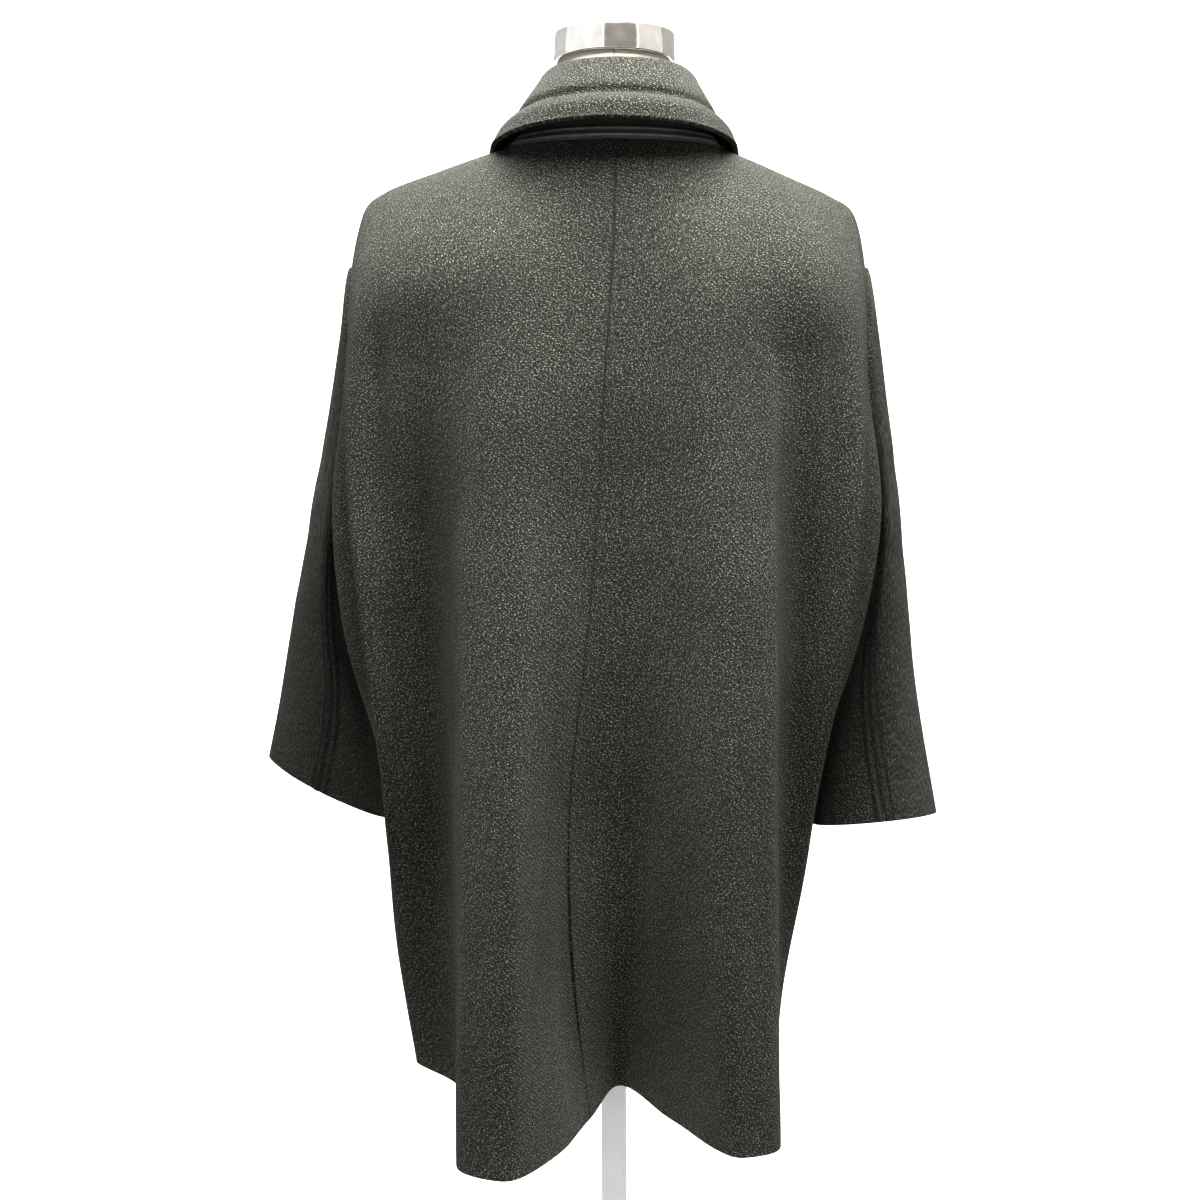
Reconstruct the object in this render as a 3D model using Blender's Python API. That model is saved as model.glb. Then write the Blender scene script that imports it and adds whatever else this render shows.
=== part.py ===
# Chesterfield coat of thick wool, hanging closed on a limbless dress form with a stand.
# Metres, +Z up, floor at Z 0. The front faces -Y and the wearer's left is +X.

import math

import bmesh
import bpy
import numpy as np
from mathutils import Vector
from mathutils.bvhtree import BVHTree

# Cloth
WALL = 0.003
GAP = 0.0003
LAY = 0.0004
HANDLE_LIMIT = 1.5

# Heights of the seven levels that the guide lines pass, hem first
HEIGHTS = (0.515, 0.650, 0.800, 0.950, 1.060, 1.180, 1.285)
ROW_SPLITS = (3, 3, 2, 2, 4, 3, 4)
ARMHOLE_ROWS = sum(ROW_SPLITS[4:])
FINE_STEPS = 24

# Neck seam, as half an ellipse around the neck
NECK_HALF_WIDTH = 0.105
NECK_DEPTH = 0.090
NECK_BACK_Z = 1.3935
NECK_SIDE_Z = 1.4020
SEAM_TOP_X = -0.002

# Armholes: centre height, half height, half depth and place of the ring's middle
ARMHOLE_Z = 1.179
ARMHOLE_HALF_HEIGHT = 0.119
ARMHOLE_HALF_DEPTH = 0.055
ARMHOLE_Y = -0.040
SIDES = {"left": 1.0, "right": -1.0}
ARMHOLE_X = {"left": (0.2485, 0.2450), "right": (0.2380, 0.2340)}

# Shoulder seams from the neck point to the armhole's top: x, y, z
SHOULDER = {
    "left": ((0.105, 0.000, 1.4020), (0.129, -0.001, 1.3945), (0.165, -0.004, 1.3822),
             (0.215, -0.008, 1.3642), (0.2330, -0.014, 1.3530), (0.2425, -0.024, 1.3320),
             (0.2465, -0.032, 1.3140), (0.2485, -0.040, 1.2980)),
    "right": ((0.105, 0.000, 1.4020), (0.127, -0.001, 1.3930), (0.160, -0.004, 1.3790),
              (0.204, -0.008, 1.3600), (0.2240, -0.014, 1.3490), (0.2335, -0.024, 1.3290),
              (0.2365, -0.032, 1.3130), (0.2380, -0.040, 1.2980)),
}

# The centre-back seam that both back panels share, x and y at each level
BACK_SEAM = ((0.022, 0.105), (0.036, 0.126), (0.038, 0.128), (0.022, 0.125),
             (0.014, 0.121), (0.008, 0.117), (0.001, 0.108))

# Guide lines down each back panel: hem height, then x and y at each level, then the neck angle
# in degrees where the line ends, or None where it ends on the shoulder seam
BACK_GUIDES = {
    "left": (
        ("flank", 0.500, ((0.042, 0.165), (0.056, 0.165), (0.056, 0.153), (0.048, 0.140),
                          (0.046, 0.130), (0.040, 0.121), (0.034, 0.109)), 28),
        ("lobe", 0.488, ((0.092, 0.232), (0.090, 0.214), (0.088, 0.190), (0.088, 0.165),
                         (0.086, 0.148), (0.080, 0.131), (0.072, 0.111)), 58),
        ("corner", 0.491, ((0.128, 0.214), (0.130, 0.192), (0.131, 0.168), (0.133, 0.142),
                           (0.136, 0.122), (0.132, 0.110), (0.122, 0.102)), None),
        ("wall", 0.499, ((0.1335, 0.158), (0.1365, 0.140), (0.1395, 0.125), (0.1430, 0.114),
                         (0.1470, 0.107), (0.1460, 0.102), (0.1400, 0.0975)), None),
        ("valley", 0.527, ((0.149, 0.020), (0.158, 0.032), (0.168, 0.048), (0.176, 0.066),
                           (0.180, 0.080), (0.184, 0.090), (0.180, 0.086)), None),
        ("ridge", 0.541, ((0.187, -0.005), (0.202, 0.010), (0.2130, 0.048), (0.2300, 0.066),
                          (0.2415, 0.064), (0.2455, 0.057), (0.2310, 0.046)), None),
        ("tuck", 0.545, ((0.187, -0.022), (0.203, -0.010), (0.2140, 0.028), (0.2290, 0.048),
                         (0.2400, 0.047), (0.2480, 0.042), (0.2430, 0.026)), None),
        ("strip", 0.548, ((0.184, -0.036), (0.200, -0.030), (0.2130, 0.006), (0.2500, 0.030),
                          (0.2620, 0.028), (0.2510, 0.028), (0.2465, 0.013)), None),
        ("hollow", 0.549, ((0.181, -0.045), (0.1965, -0.044), (0.2095, -0.030), (0.2335, -0.010),
                           (0.2470, 0.000), (0.2475, 0.021), (0.2475, 0.004)), None),
    ),
    "right": (
        ("trough", 0.532, ((0.002, 0.060), (0.006, 0.088), (0.006, 0.108), (0.010, 0.118),
                           (0.014, 0.118), (0.016, 0.116), (0.018, 0.108)), 15),
        ("rise", 0.516, ((0.048, 0.120), (0.046, 0.128), (0.046, 0.136), (0.048, 0.132),
                         (0.050, 0.126), (0.048, 0.119), (0.044, 0.108)), 36),
        ("lobe", 0.499, ((0.108, 0.196), (0.104, 0.184), (0.102, 0.170), (0.100, 0.150),
                         (0.092, 0.135), (0.084, 0.123), (0.074, 0.109)), 60),
        ("corner", 0.501, ((0.138, 0.185), (0.140, 0.167), (0.142, 0.151), (0.144, 0.134),
                           (0.144, 0.116), (0.138, 0.106), (0.124, 0.100)), None),
        ("wall", 0.507, ((0.1435, 0.138), (0.1450, 0.124), (0.1470, 0.113), (0.1500, 0.106),
                         (0.1530, 0.102), (0.1500, 0.098), (0.1400, 0.095)), None),
        ("valley", 0.525, ((0.148, 0.030), (0.154, 0.038), (0.165, 0.050), (0.175, 0.064),
                           (0.178, 0.080), (0.182, 0.088), (0.176, 0.084)), None),
        ("ridge", 0.535, ((0.151, 0.000), (0.168, 0.012), (0.1885, 0.044), (0.2165, 0.068),
                          (0.2280, 0.070), (0.2280, 0.062), (0.2190, 0.046)), None),
        ("tuck", 0.540, ((0.151, -0.018), (0.168, -0.010), (0.1875, 0.020), (0.2170, 0.050),
                         (0.2290, 0.052), (0.2340, 0.045), (0.2310, 0.026)), None),
        ("strip", 0.545, ((0.149, -0.034), (0.165, -0.030), (0.1840, -0.010), (0.2330, 0.030),
                          (0.2500, 0.030), (0.2370, 0.029), (0.2350, 0.013)), None),
        ("hollow", 0.548, ((0.147, -0.044), (0.1625, -0.044), (0.1800, -0.034), (0.2130, -0.014),
                           (0.2360, 0.000), (0.2370, 0.021), (0.2370, 0.004)), None),
    ),
}

# Side seam below the armhole, x and y at the first four levels
SIDE_SEAM = {
    "left": ((0.178, -0.052), (0.193, -0.055), (0.206, -0.055), (0.228, -0.052)),
    "right": ((0.145, -0.052), (0.160, -0.055), (0.177, -0.055), (0.206, -0.056)),
}
SIDE_HEM_Z = 0.549

# Guide lines down each front panel from the side to the edge: hem height, then x, y at each
# level; the last two lines end on the neckline and have their own heights
FRONT_WIDTH = {"left": (1.0, 1.0, 1.0, 1.0, 1.0, 1.0, 1.0),
               "right": (0.86, 0.89, 0.92, 0.95, 0.96, 0.96, 0.96)}
FRONT_GUIDES = (
    ("front_hollow", 0.548, ((0.1765, -0.059), (0.1915, -0.063), (0.2045, -0.063),
                             (0.2250, -0.064), (0.2440, -0.080), (0.2455, -0.101),
                             (0.2460, -0.083))),
    ("front_strip", 0.546, ((0.174, -0.067), (0.189, -0.072), (0.202, -0.072), (0.221, -0.074),
                            (0.240, -0.089), (0.2430, -0.107), (0.2430, -0.088))),
    ("front_tuck", 0.543, ((0.169, -0.081), (0.184, -0.086), (0.197, -0.086), (0.213, -0.090),
                           (0.231, -0.102), (0.2350, -0.115), (0.2350, -0.092))),
    ("front_ridge", 0.540, ((0.160, -0.094), (0.173, -0.101), (0.186, -0.104), (0.199, -0.108),
                            (0.213, -0.117), (0.2190, -0.125), (0.2180, -0.095))),
    ("princess", 0.536, ((0.138, -0.116), (0.146, -0.124), (0.154, -0.130), (0.162, -0.134),
                         (0.168, -0.140), (0.171, -0.141), (0.166, -0.104))),
    ("breast", 0.533, ((0.118, -0.127), (0.124, -0.135), (0.130, -0.142), (0.136, -0.147),
                       (0.139, -0.151), (0.138, -0.149), (0.132, -0.110))),
    ("chest", 0.530, ((0.096, -0.136), (0.100, -0.144), (0.104, -0.152), (0.106, -0.157),
                      (0.108, -0.160), (0.108, -0.154), (0.106, -0.112))),
)
GORGE_HEIGHTS = (0.527, 0.640, 0.780, 0.910, 1.000, 1.110, 1.225, 1.322)
GORGE_LINE = ((0.046, -0.146), (0.048, -0.153), (0.050, -0.160), (0.052, -0.166),
              (0.054, -0.168), (0.058, -0.166), (0.068, -0.148), (0.080, -0.105))
EDGE_HEIGHTS = (0.526, 0.630, 0.750, 0.860, 0.940, 1.010, 1.070, 1.120)
EDGE_Y = (-0.148, -0.155, -0.161, -0.166, -0.1685, -0.1695, -0.1700, -0.1690)
EDGE_LAP = 0.030
UNDERLAP = 0.0048
UNDERLAP_FADE = (0.036, 0.070)

# Columns of each panel between one guide line and the next
NECK_SPLITS = {"left": (2, 3, 3), "right": (2, 2, 2, 3)}
SHOULDER_SPLITS = (2, 3, 3, 2, 2, 2, 1)
NECKLINE_SPLITS = (3, 4)

# Sleeves: outer point, inner point, half depth and forward tilt in degrees of each ring
SLEEVE_STATIONS = {
    "left": (
        ("cap", (0.2615, -0.047, 1.2400), (0.2530, -0.045, 1.0500), 0.057, 0),
        ("crown", (0.2745, -0.061, 1.1650), (0.2590, -0.048, 1.0350), 0.060, 1),
        ("upper arm", (0.2915, -0.085, 1.0900), (0.2630, -0.056, 1.0050), 0.061, 2),
        ("elbow", (0.3125, -0.121, 1.0000), (0.2610, -0.080, 0.9400), 0.060, 3),
        ("forearm", (0.3335, -0.160, 0.9100), (0.2450, -0.130, 0.8550), 0.056, 5),
        ("cuff", (0.3560, -0.200, 0.8200), (0.2300, -0.192, 0.7570), 0.053, 5),
    ),
    "right": (
        ("cap", (0.2525, -0.041, 1.2400), (0.2435, -0.045, 1.0500), 0.057, 0),
        ("crown", (0.2615, -0.043, 1.1650), (0.2480, -0.047, 1.0350), 0.059, 0),
        ("upper arm", (0.2710, -0.044, 1.0900), (0.2450, -0.050, 1.0050), 0.059, 0),
        ("elbow", (0.2800, -0.044, 1.0000), (0.2290, -0.054, 0.9400), 0.056, 0),
        ("forearm", (0.2880, -0.043, 0.9100), (0.2080, -0.053, 0.8600), 0.052, 0),
        ("cuff", (0.3100, -0.042, 0.7750), (0.1915, -0.044, 0.7630), 0.050, 0),
    ),
}
SLEEVE_SPLITS = (1, 2, 2, 2, 3, 3, 3)
LIP_OUT = 0.0045
RING_PACE = 0.2
RING_STEP = math.pi / ARMHOLE_ROWS
UNDER_COLUMNS = 7
UPPER_COLUMNS = 2 * ARMHOLE_ROWS - UNDER_COLUMNS
BACK_SEAM_STEPS = 8
FRONT_SEAM_ANGLE = -(UPPER_COLUMNS - BACK_SEAM_STEPS) * RING_STEP
SEAM_SWING = ((0.0, BACK_SEAM_STEPS * RING_STEP), (0.12, BACK_SEAM_STEPS * RING_STEP),
              (0.66, math.radians(114)), (1.0, math.radians(86)))

# Collar: the stand's top on the neck side, then the leaf's edge, from the back to the front
COLLAR_FOLD = ((0.000, 0.0670, 1.4640), (0.045, 0.0510, 1.4635), (0.0630, 0.012, 1.4610),
               (0.0690, -0.030, 1.4440), (0.0740, -0.070, 1.4020), (0.0810, -0.106, 1.3360))
COLLAR_EDGE = ((0.000, 0.1170, 1.4085), (0.066, 0.0970, 1.4070), (0.1090, 0.034, 1.4055),
               (0.1190, -0.024, 1.4035), (0.1240, -0.080, 1.3760), (0.1230, -0.132, 1.3220))
FOLD_SHIFT = -0.0045
EDGE_SHIFT = 0.0000
COLLAR_WALL = 0.0035
FOLD_RADIUS = 0.0075
FOLD_ANGLES = (180, 130, 80, 30)
LEAF_ROWS = 8
LEAF_EDGE_WALL = 0.0050
LEAF_BULGE_BACK = 0.0020
LEAF_BULGE_SIDE = 0.0000
LEAF_CREASE = (0.56, 0.09, 0.0030)
LEAF_ROLL = (0.82, 0.13, 0.0030)
STAND_ROWS = 3

# Lapels: break, gorge and point, x and z on the front panels
LAPEL_BREAK = (0.0120, 1.190)
LAPEL_GORGE = (0.0810, 1.3080)
LAPEL_POINT = (0.1260, 1.2860)
LAPEL_START = 0.006
LAPEL_BELLY = 0.006
LAPEL_LIFT = 0.0017
LAPEL_COLUMNS = 6
LAPEL_ROWS = 12

# Buttons on the left front
BUTTON_HEIGHTS = (1.085, 0.970, 0.855)
BUTTON_RADIUS = 0.0125
BUTTON_THICK = 0.0040
BUTTON_DISH = 0.0014
BUTTON_LIFT = 0.0008
BUTTON_SIDES = 20

# Dress form rings: half width, back y, front y, then the heights at side, back and front
FORM_RINGS = (
    (0.0540, 0.0540, -0.0540, 1.4835, 1.4835, 1.4835),
    (0.0520, 0.0530, -0.0530, 1.4500, 1.4450, 1.4300),
    (0.0560, 0.0570, -0.0570, 1.4240, 1.4180, 1.3900),
    (0.0720, 0.0640, -0.0680, 1.4040, 1.3940, 1.3560),
    (0.1050, 0.0730, -0.0830, None, 1.3680, 1.3260),
    (0.1350, 0.0800, -0.0960, None, 1.3410, 1.2980),
    (0.1650, 0.0850, -0.1060, None, 1.3100, 1.2680),
    (0.1860, 0.0890, -0.1140, 1.3560, 1.2740, 1.2380),
    (0.1940, 0.0910, -0.1190, 1.3260, 1.2380, 1.2050),
    (0.1900, 0.0920, -0.1220, 1.2680, 1.2000, 1.1700),
    (0.1780, 0.0900, -0.1230, 1.1900, 1.1500, 1.1300),
    (0.1620, 0.0830, -0.1180, 1.1100, 1.0900, 1.0800),
    (0.1380, 0.0700, -0.0980, 1.0100, 1.0050, 1.0000),
    (0.1400, 0.0760, -0.0940, 0.9400, 0.9400, 0.9400),
    (0.1500, 0.0860, -0.0960, 0.8600, 0.8600, 0.8600),
    (0.1480, 0.0820, -0.0950, 0.7900, 0.7900, 0.7900),
    (0.1340, 0.0720, -0.0850, 0.7500, 0.7500, 0.7500),
    (0.1040, 0.0560, -0.0640, 0.7400, 0.7400, 0.7400),
)
CREST_POWER = 1.2
FORM_SIDES = 32
FORM_CLEARANCE = 0.0007
FORM_COVERED_Z = 1.300
FORM_REACH = 0.012

# Neck cap, pole and base, all turned
CAP_RADIUS = 0.0575
CAP_HEIGHT = 0.0270
CAP_BEVEL = 0.0020
POLE_RADIUS = 0.0120
BASE_RADIUS = 0.190
BASE_RIM = 0.008
BASE_HEIGHT = 0.022
HUB_RADIUS = 0.030
TURNED_SIDES = 40


def clear_scene():
    """Remove what the scene holds, so that the part starts from nothing."""
    for thing in list(bpy.data.objects):
        bpy.data.objects.remove(thing, do_unlink=True)


def material(name, color, roughness, metallic=0.0):
    """Plain material with one colour."""
    made = bpy.data.materials.new(name)
    made.use_nodes = True
    shader = made.node_tree.nodes["Principled BSDF"]
    shader.inputs["Base Color"].default_value = (*color, 1.0)
    shader.inputs["Roughness"].default_value = roughness
    shader.inputs["Metallic"].default_value = metallic
    return made


def collection():
    """Collection that holds every piece of the object."""
    made = bpy.data.collections.new("chesterfield_coat_on_dress_form")
    bpy.context.scene.collection.children.link(made)
    return made


def add_object(name, mesh, finish, home):
    """Put a mesh into the collection as a named piece with its material."""
    piece = bpy.data.objects.new(name, mesh)
    mesh.materials.append(finish)
    mesh.shade_smooth()
    mesh.set_sharp_from_angle(angle=math.radians(40))
    home.objects.link(piece)
    return piece


def sample_line(points, splits, before=None, after=None):
    """Smooth line through points, with each stretch cut into its number of steps."""
    points = np.asarray(points, float)
    first = 2 * points[0] - points[1] if before is None else before
    last = 2 * points[-1] - points[-2] if after is None else after
    line = np.vstack([first, points, last])
    steps = np.maximum(np.linalg.norm(np.diff(line, axis=0), axis=1), 1e-6)[:, None]
    slopes = np.diff(line, axis=0) / steps
    turns = (slopes[:-1] * steps[1:] + slopes[1:] * steps[:-1]) / (steps[:-1] + steps[1:])
    result = []
    for index, count in enumerate(splits):
        length = steps[index + 1]
        leaving = np.minimum(length, HANDLE_LIMIT * steps[index])
        arriving = np.minimum(length, HANDLE_LIMIT * steps[index + 2])
        for step in range(count):
            f = step / count
            start = (1 + 2 * f) * (1 - f) ** 2 * points[index]
            end = f * f * (3 - 2 * f) * points[index + 1]
            leave = f * (1 - f) ** 2 * leaving * turns[index]
            arrive = f * f * (f - 1) * arriving * turns[index + 1]
            result.append(start + end + leave + arrive)
    result.append(points[-1])
    return np.array(result)


def neck_point(angle, sign):
    """Point of the neck seam at an angle from the middle of the back."""
    share = angle / 90
    across = NECK_HALF_WIDTH * math.sin(math.radians(angle))
    shift = SEAM_TOP_X * math.cos(math.radians(angle)) * sign
    depth = NECK_DEPTH * math.cos(math.radians(angle))
    return (across + shift, depth, NECK_BACK_Z + (NECK_SIDE_Z - NECK_BACK_Z) * share ** 2)


def armhole_ring(side, angle):
    """Point of the armhole's rim: 0 is its top, a quarter turn its back."""
    top_x, low_x = ARMHOLE_X[side]
    rise = math.cos(angle)
    across = (top_x + low_x) / 2 + (top_x - low_x) / 2 * rise
    depth = ARMHOLE_Y + ARMHOLE_HALF_DEPTH * math.sin(angle)
    return (across, depth, ARMHOLE_Z + ARMHOLE_HALF_HEIGHT * rise)


def guide_line(places, hem_z, top, over_shoulder, heights=HEIGHTS):
    """Line from the hem to the neck or shoulder, level over the shoulder seam."""
    points = [(x, y, hem_z if level == 0 else heights[level])
              for level, (x, y) in enumerate(places)]
    points.append(top)
    after = None
    if over_shoulder:
        last = points[-2]
        after = np.array((last[0], 2 * top[1] - last[1], last[2]))
    below = sum(ROW_SPLITS) - ARMHOLE_ROWS
    line = sample_line(points, ROW_SPLITS, after=after)
    fine = sample_line(points, [FINE_STEPS] * len(ROW_SPLITS), after=after)
    low, high = line[below, 2], line[-1, 2]
    steps = (1 - np.cos(np.arange(ARMHOLE_ROWS + 1) * math.pi / ARMHOLE_ROWS)) / 2
    rises = low + (high - low) * steps
    line[below:] = np.stack([np.interp(rises, fine[:, 2], fine[:, axis]) for axis in range(3)], 1)
    return line


def side_line(side, front):
    """Side seam up to the armhole, then the armhole's back or front rim."""
    underarm = armhole_ring(side, math.pi)
    points = [(x, y, SIDE_HEM_Z if level == 0 else HEIGHTS[level])
              for level, (x, y) in enumerate(SIDE_SEAM[side])]
    seam = sample_line(points + [underarm], ROW_SPLITS[:4])
    turn = -1.0 if front else 1.0
    rim = [armhole_ring(side, turn * math.pi * (1 - row / ARMHOLE_ROWS))
           for row in range(1, ARMHOLE_ROWS + 1)]
    return np.vstack([seam, rim])


def back_lines(side):
    """All guide lines of a back panel, from the centre seam to the side."""
    sign = SIDES[side]
    seam = [(sign * x, y) for x, y in BACK_SEAM]
    lines = [guide_line(seam, 0.512, neck_point(0, sign), False)]
    shoulder = list(SHOULDER[side][:-1])
    for name, hem_z, places, angle in BACK_GUIDES[side]:
        if angle is None:
            lines.append(guide_line(places, hem_z, shoulder.pop(0), True))
        else:
            lines.append(guide_line(places, hem_z, neck_point(angle, sign), False))
    lines.append(side_line(side, False))
    return lines


def front_lines(side):
    """All guide lines of a front panel, from the side to the lapped edge."""
    lines = [side_line(side, True)]
    shoulder = list(SHOULDER[side][:-1])
    for name, hem_z, places in FRONT_GUIDES:
        narrowed = [(x * scale, y) for (x, y), scale in zip(places, FRONT_WIDTH[side])]
        lines.append(guide_line(narrowed, hem_z, shoulder.pop(), True))
    gorge = [(x, y, z) for (x, y), z in zip(GORGE_LINE, GORGE_HEIGHTS)]
    edge = [(-EDGE_LAP, y, z) for y, z in zip(EDGE_Y, EDGE_HEIGHTS)]
    lines.append(sample_line(gorge, ROW_SPLITS))
    lines.append(sample_line(edge, ROW_SPLITS))
    return lines


def loft(lines, splits, before, after):
    """Grid of points across guide lines, one row for each step up the lines."""
    rows = []
    for row in range(len(lines[0])):
        points = [line[row] for line in lines]
        rows.append(sample_line(points, splits,
                                None if before is None else before[row],
                                None if after is None else after[row]))
    return np.array(rows)


def mirrored(line):
    """The same line in the other side's own frame."""
    return line * np.array((-1.0, 1.0, 1.0))


def coat_grids():
    """Outer grids of the four body panels, each in its own side's frame."""
    back = {side: back_lines(side) for side in SIDES}
    front = {side: front_lines(side) for side in SIDES}
    grids = {}
    for side, other in (("left", "right"), ("right", "left")):
        grids["back", side] = loft(back[side], NECK_SPLITS[side] + SHOULDER_SPLITS,
                                   mirrored(back[other][1]), front[side][1])
        grids["front", side] = loft(front[side], SHOULDER_SPLITS[::-1] + NECKLINE_SPLITS,
                                    back[side][-2], None)
        shoulder = sample_line(SHOULDER[side], SHOULDER_SPLITS)
        grids["back", side][-1, -len(shoulder):] = shoulder
        grids["front", side][-1, :len(shoulder)] = shoulder[::-1]
    recess_underlap(grids["front", "right"])
    return grids


def recess_underlap(grid):
    """Set the edge that lies under the other front back by a cloth's thickness."""
    near, far = UNDERLAP_FADE
    share = np.clip((far - grid[:, :, 0]) / (far - near), 0, 1)
    past = np.clip(-grid[:, :, 0] / EDGE_LAP, 0, 1)
    grid[:, :, 1] += UNDERLAP * (share * share * (3 - 2 * share) + past / 2)


def grid_normals(grid):
    """Unit normals of a grid from the differences along its rows and columns."""
    up = np.gradient(grid, axis=0)
    across = np.gradient(grid, axis=1)
    normals = np.cross(across, up)
    return normals / np.maximum(np.linalg.norm(normals, axis=2, keepdims=True), 1e-9)


def share_normals(first, second):
    """Give both sides of a seam the mean of their normals."""
    mean = first + second
    mean /= np.linalg.norm(mean, axis=-1, keepdims=True)
    first[...] = mean
    second[...] = mean


def world(grid, side):
    """Turn a grid from its side's own frame into the part's frame."""
    return grid * np.array((SIDES[side], 1.0, 1.0))


def pull_in(grid, edge, rows=slice(None)):
    """Move one edge of a grid inward by half a seam gap."""
    views = {
        "first_column": (grid[rows, 0], grid[rows, 1]),
        "last_column": (grid[rows, -1], grid[rows, -2]),
        "first_row": (grid[0, rows], grid[1, rows]),
        "last_row": (grid[-1, rows], grid[-2, rows]),
    }
    outer, inner = views[edge]
    way = inner - outer
    outer += way / np.linalg.norm(way, axis=1, keepdims=True) * GAP / 2


def body_panels():
    """World grids and outward normals of the four body panels with their seam gaps."""
    grids = coat_grids()
    panels = {}
    for key, grid in grids.items():
        placed = world(grid, key[1])
        normals = grid_normals(placed)
        panels[key] = [placed, -normals * SIDES[key[1]]]
    below = sum(ROW_SPLITS) - ARMHOLE_ROWS
    for side in SIDES:
        back, front = panels["back", side], panels["front", side]
        share_normals(back[1][:below, -1], front[1][:below, 0])
        count = sum(SHOULDER_SPLITS) + 1
        share_normals(back[1][-1, -count:], front[1][-1, count - 1::-1])
        rim = np.array((SIDES[side], 0.0, 0.0))
        back[1][below:, -1] = rim
        front[1][below:, 0] = rim
    share_normals(panels["back", "left"][1][:, 0], panels["back", "right"][1][:, 0])
    for side in SIDES:
        back, front = panels["back", side][0], panels["front", side][0]
        pull_in(back, "first_column")
        pull_in(back, "last_column", slice(0, below + 1))
        pull_in(front, "first_column", slice(0, below + 1))
        pull_in(back, "last_row", slice(-count, None))
        pull_in(front, "last_row", slice(0, count))
    return panels


def orient(grid, normals):
    """Whether the faces of a grid in row order look along its normals."""
    middle = grid.shape[0] // 2, grid.shape[1] // 2
    a = grid[middle[0], middle[1] + 1 if middle[1] + 1 < grid.shape[1] else middle[1]]
    b = grid[middle[0], middle[1] - 1]
    c = grid[middle[0] + 1 if middle[0] + 1 < grid.shape[0] else middle[0], middle[1]]
    d = grid[middle[0] - 1, middle[1]]
    return float(np.dot(np.cross(a - b, c - d), normals[middle])) > 0


def cut_cells(grid):
    """Two triangles for each cell of a grid, cut along its shorter diagonal."""
    rows, columns = grid.shape[:2]
    faces = []
    for row in range(rows - 1):
        for column in range(columns - 1):
            a = row * columns + column
            b, c, d = a + 1, a + columns + 1, a + columns
            rising = np.linalg.norm(grid[row, column] - grid[row + 1, column + 1])
            falling = np.linalg.norm(grid[row, column + 1] - grid[row + 1, column])
            if rising <= falling:
                faces += [(a, b, c), (a, c, d)]
            else:
                faces += [(a, b, d), (b, c, d)]
    return faces


def wall_mesh(name, grid, normals, thickness=WALL, turned=False):
    """Closed wall from an outer grid, with its inner side and four rims.

    Rims are cut from their lower outer corner, or from the upper one where turned.
    """
    rows, columns = grid.shape[:2]
    inner = grid - normals * np.broadcast_to(thickness, grid.shape[:2])[..., None]
    points = np.vstack([grid.reshape(-1, 3), inner.reshape(-1, 3)])
    shift = rows * columns
    faces = cut_cells(grid)
    faces += [tuple(index + shift for index in reversed(face)) for face in faces]
    rim = [(0, c) for c in range(columns)]
    rim += [(r, columns - 1) for r in range(1, rows)]
    rim += [(rows - 1, c) for c in range(columns - 2, -1, -1)]
    rim += [(r, 0) for r in range(rows - 2, 0, -1)]
    ring = [r * columns + c for r, c in rim]
    for index, start in enumerate(ring):
        end = ring[(index + 1) % len(ring)]
        if (points[start][2] < points[end][2]) != turned:
            faces.append((start, start + shift, end + shift))
            faces.append((start, end + shift, end))
        else:
            faces.append((start, start + shift, end))
            faces.append((start + shift, end + shift, end))
    if not orient(grid, normals):
        faces = [tuple(reversed(face)) for face in faces]
    mesh = bpy.data.meshes.new(name)
    mesh.from_pydata([tuple(point) for point in points], [], faces)
    mesh.update()
    return mesh


def sleeve_rings(side):
    """Rings of one sleeve from the armhole to the cuff, as ends, depth and tilt."""
    top = np.array(armhole_ring(side, 0.0))
    low = np.array(armhole_ring(side, math.pi))
    fit = np.array((0.0, 0.0, GAP * 1.3))
    inward = np.array((WALL, 0.0, 0.0))
    lip = np.array((LIP_OUT, 0.0, 0.0))
    depth = ARMHOLE_HALF_DEPTH - GAP * 1.3
    rows = [(top - fit - inward, low + fit - inward, depth, 0.0),
            (top - fit + lip, low + fit + lip, depth, 0.0)]
    for name, outer, inner, half_depth, tilt in SLEEVE_STATIONS[side]:
        rows.append((np.array(outer), np.array(inner), half_depth, float(tilt)))
    outer = sample_line([row[0] for row in rows], SLEEVE_SPLITS)
    inner = sample_line([row[1] for row in rows], SLEEVE_SPLITS)
    shape = sample_line([(index * RING_PACE, row[2], math.radians(row[3]))
                         for index, row in enumerate(rows)], SLEEVE_SPLITS)
    return outer, inner, shape


def sleeve_grid(side, angles):
    """Outer grid of a sleeve piece between the angles given for each ring."""
    outer, inner, shape = sleeve_rings(side)
    grid = []
    for top, low, (_, depth, lean), row in zip(outer, inner, shape, angles):
        middle = (top + low) / 2
        reach = (top - low) / 2
        across = np.array((0.0, math.cos(lean), -math.sin(lean))) * depth
        grid.append([middle + reach * math.cos(a) + across * math.sin(a) for a in row])
    return world(np.array(grid), side)


def sleeve_angles(rings, part):
    """Ring angles of the upper or under sleeve, whose back seam swings to the cuff."""
    shares, swing = zip(*SEAM_SWING)
    rows = []
    for ring in range(rings):
        seam = float(np.interp(ring / (rings - 1), shares, swing))
        if part == "upper":
            rows.append(np.linspace(FRONT_SEAM_ANGLE, seam, UPPER_COLUMNS + 1))
        else:
            rows.append(np.linspace(seam, 2 * math.pi + FRONT_SEAM_ANGLE, UNDER_COLUMNS + 1))
    return rows


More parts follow.
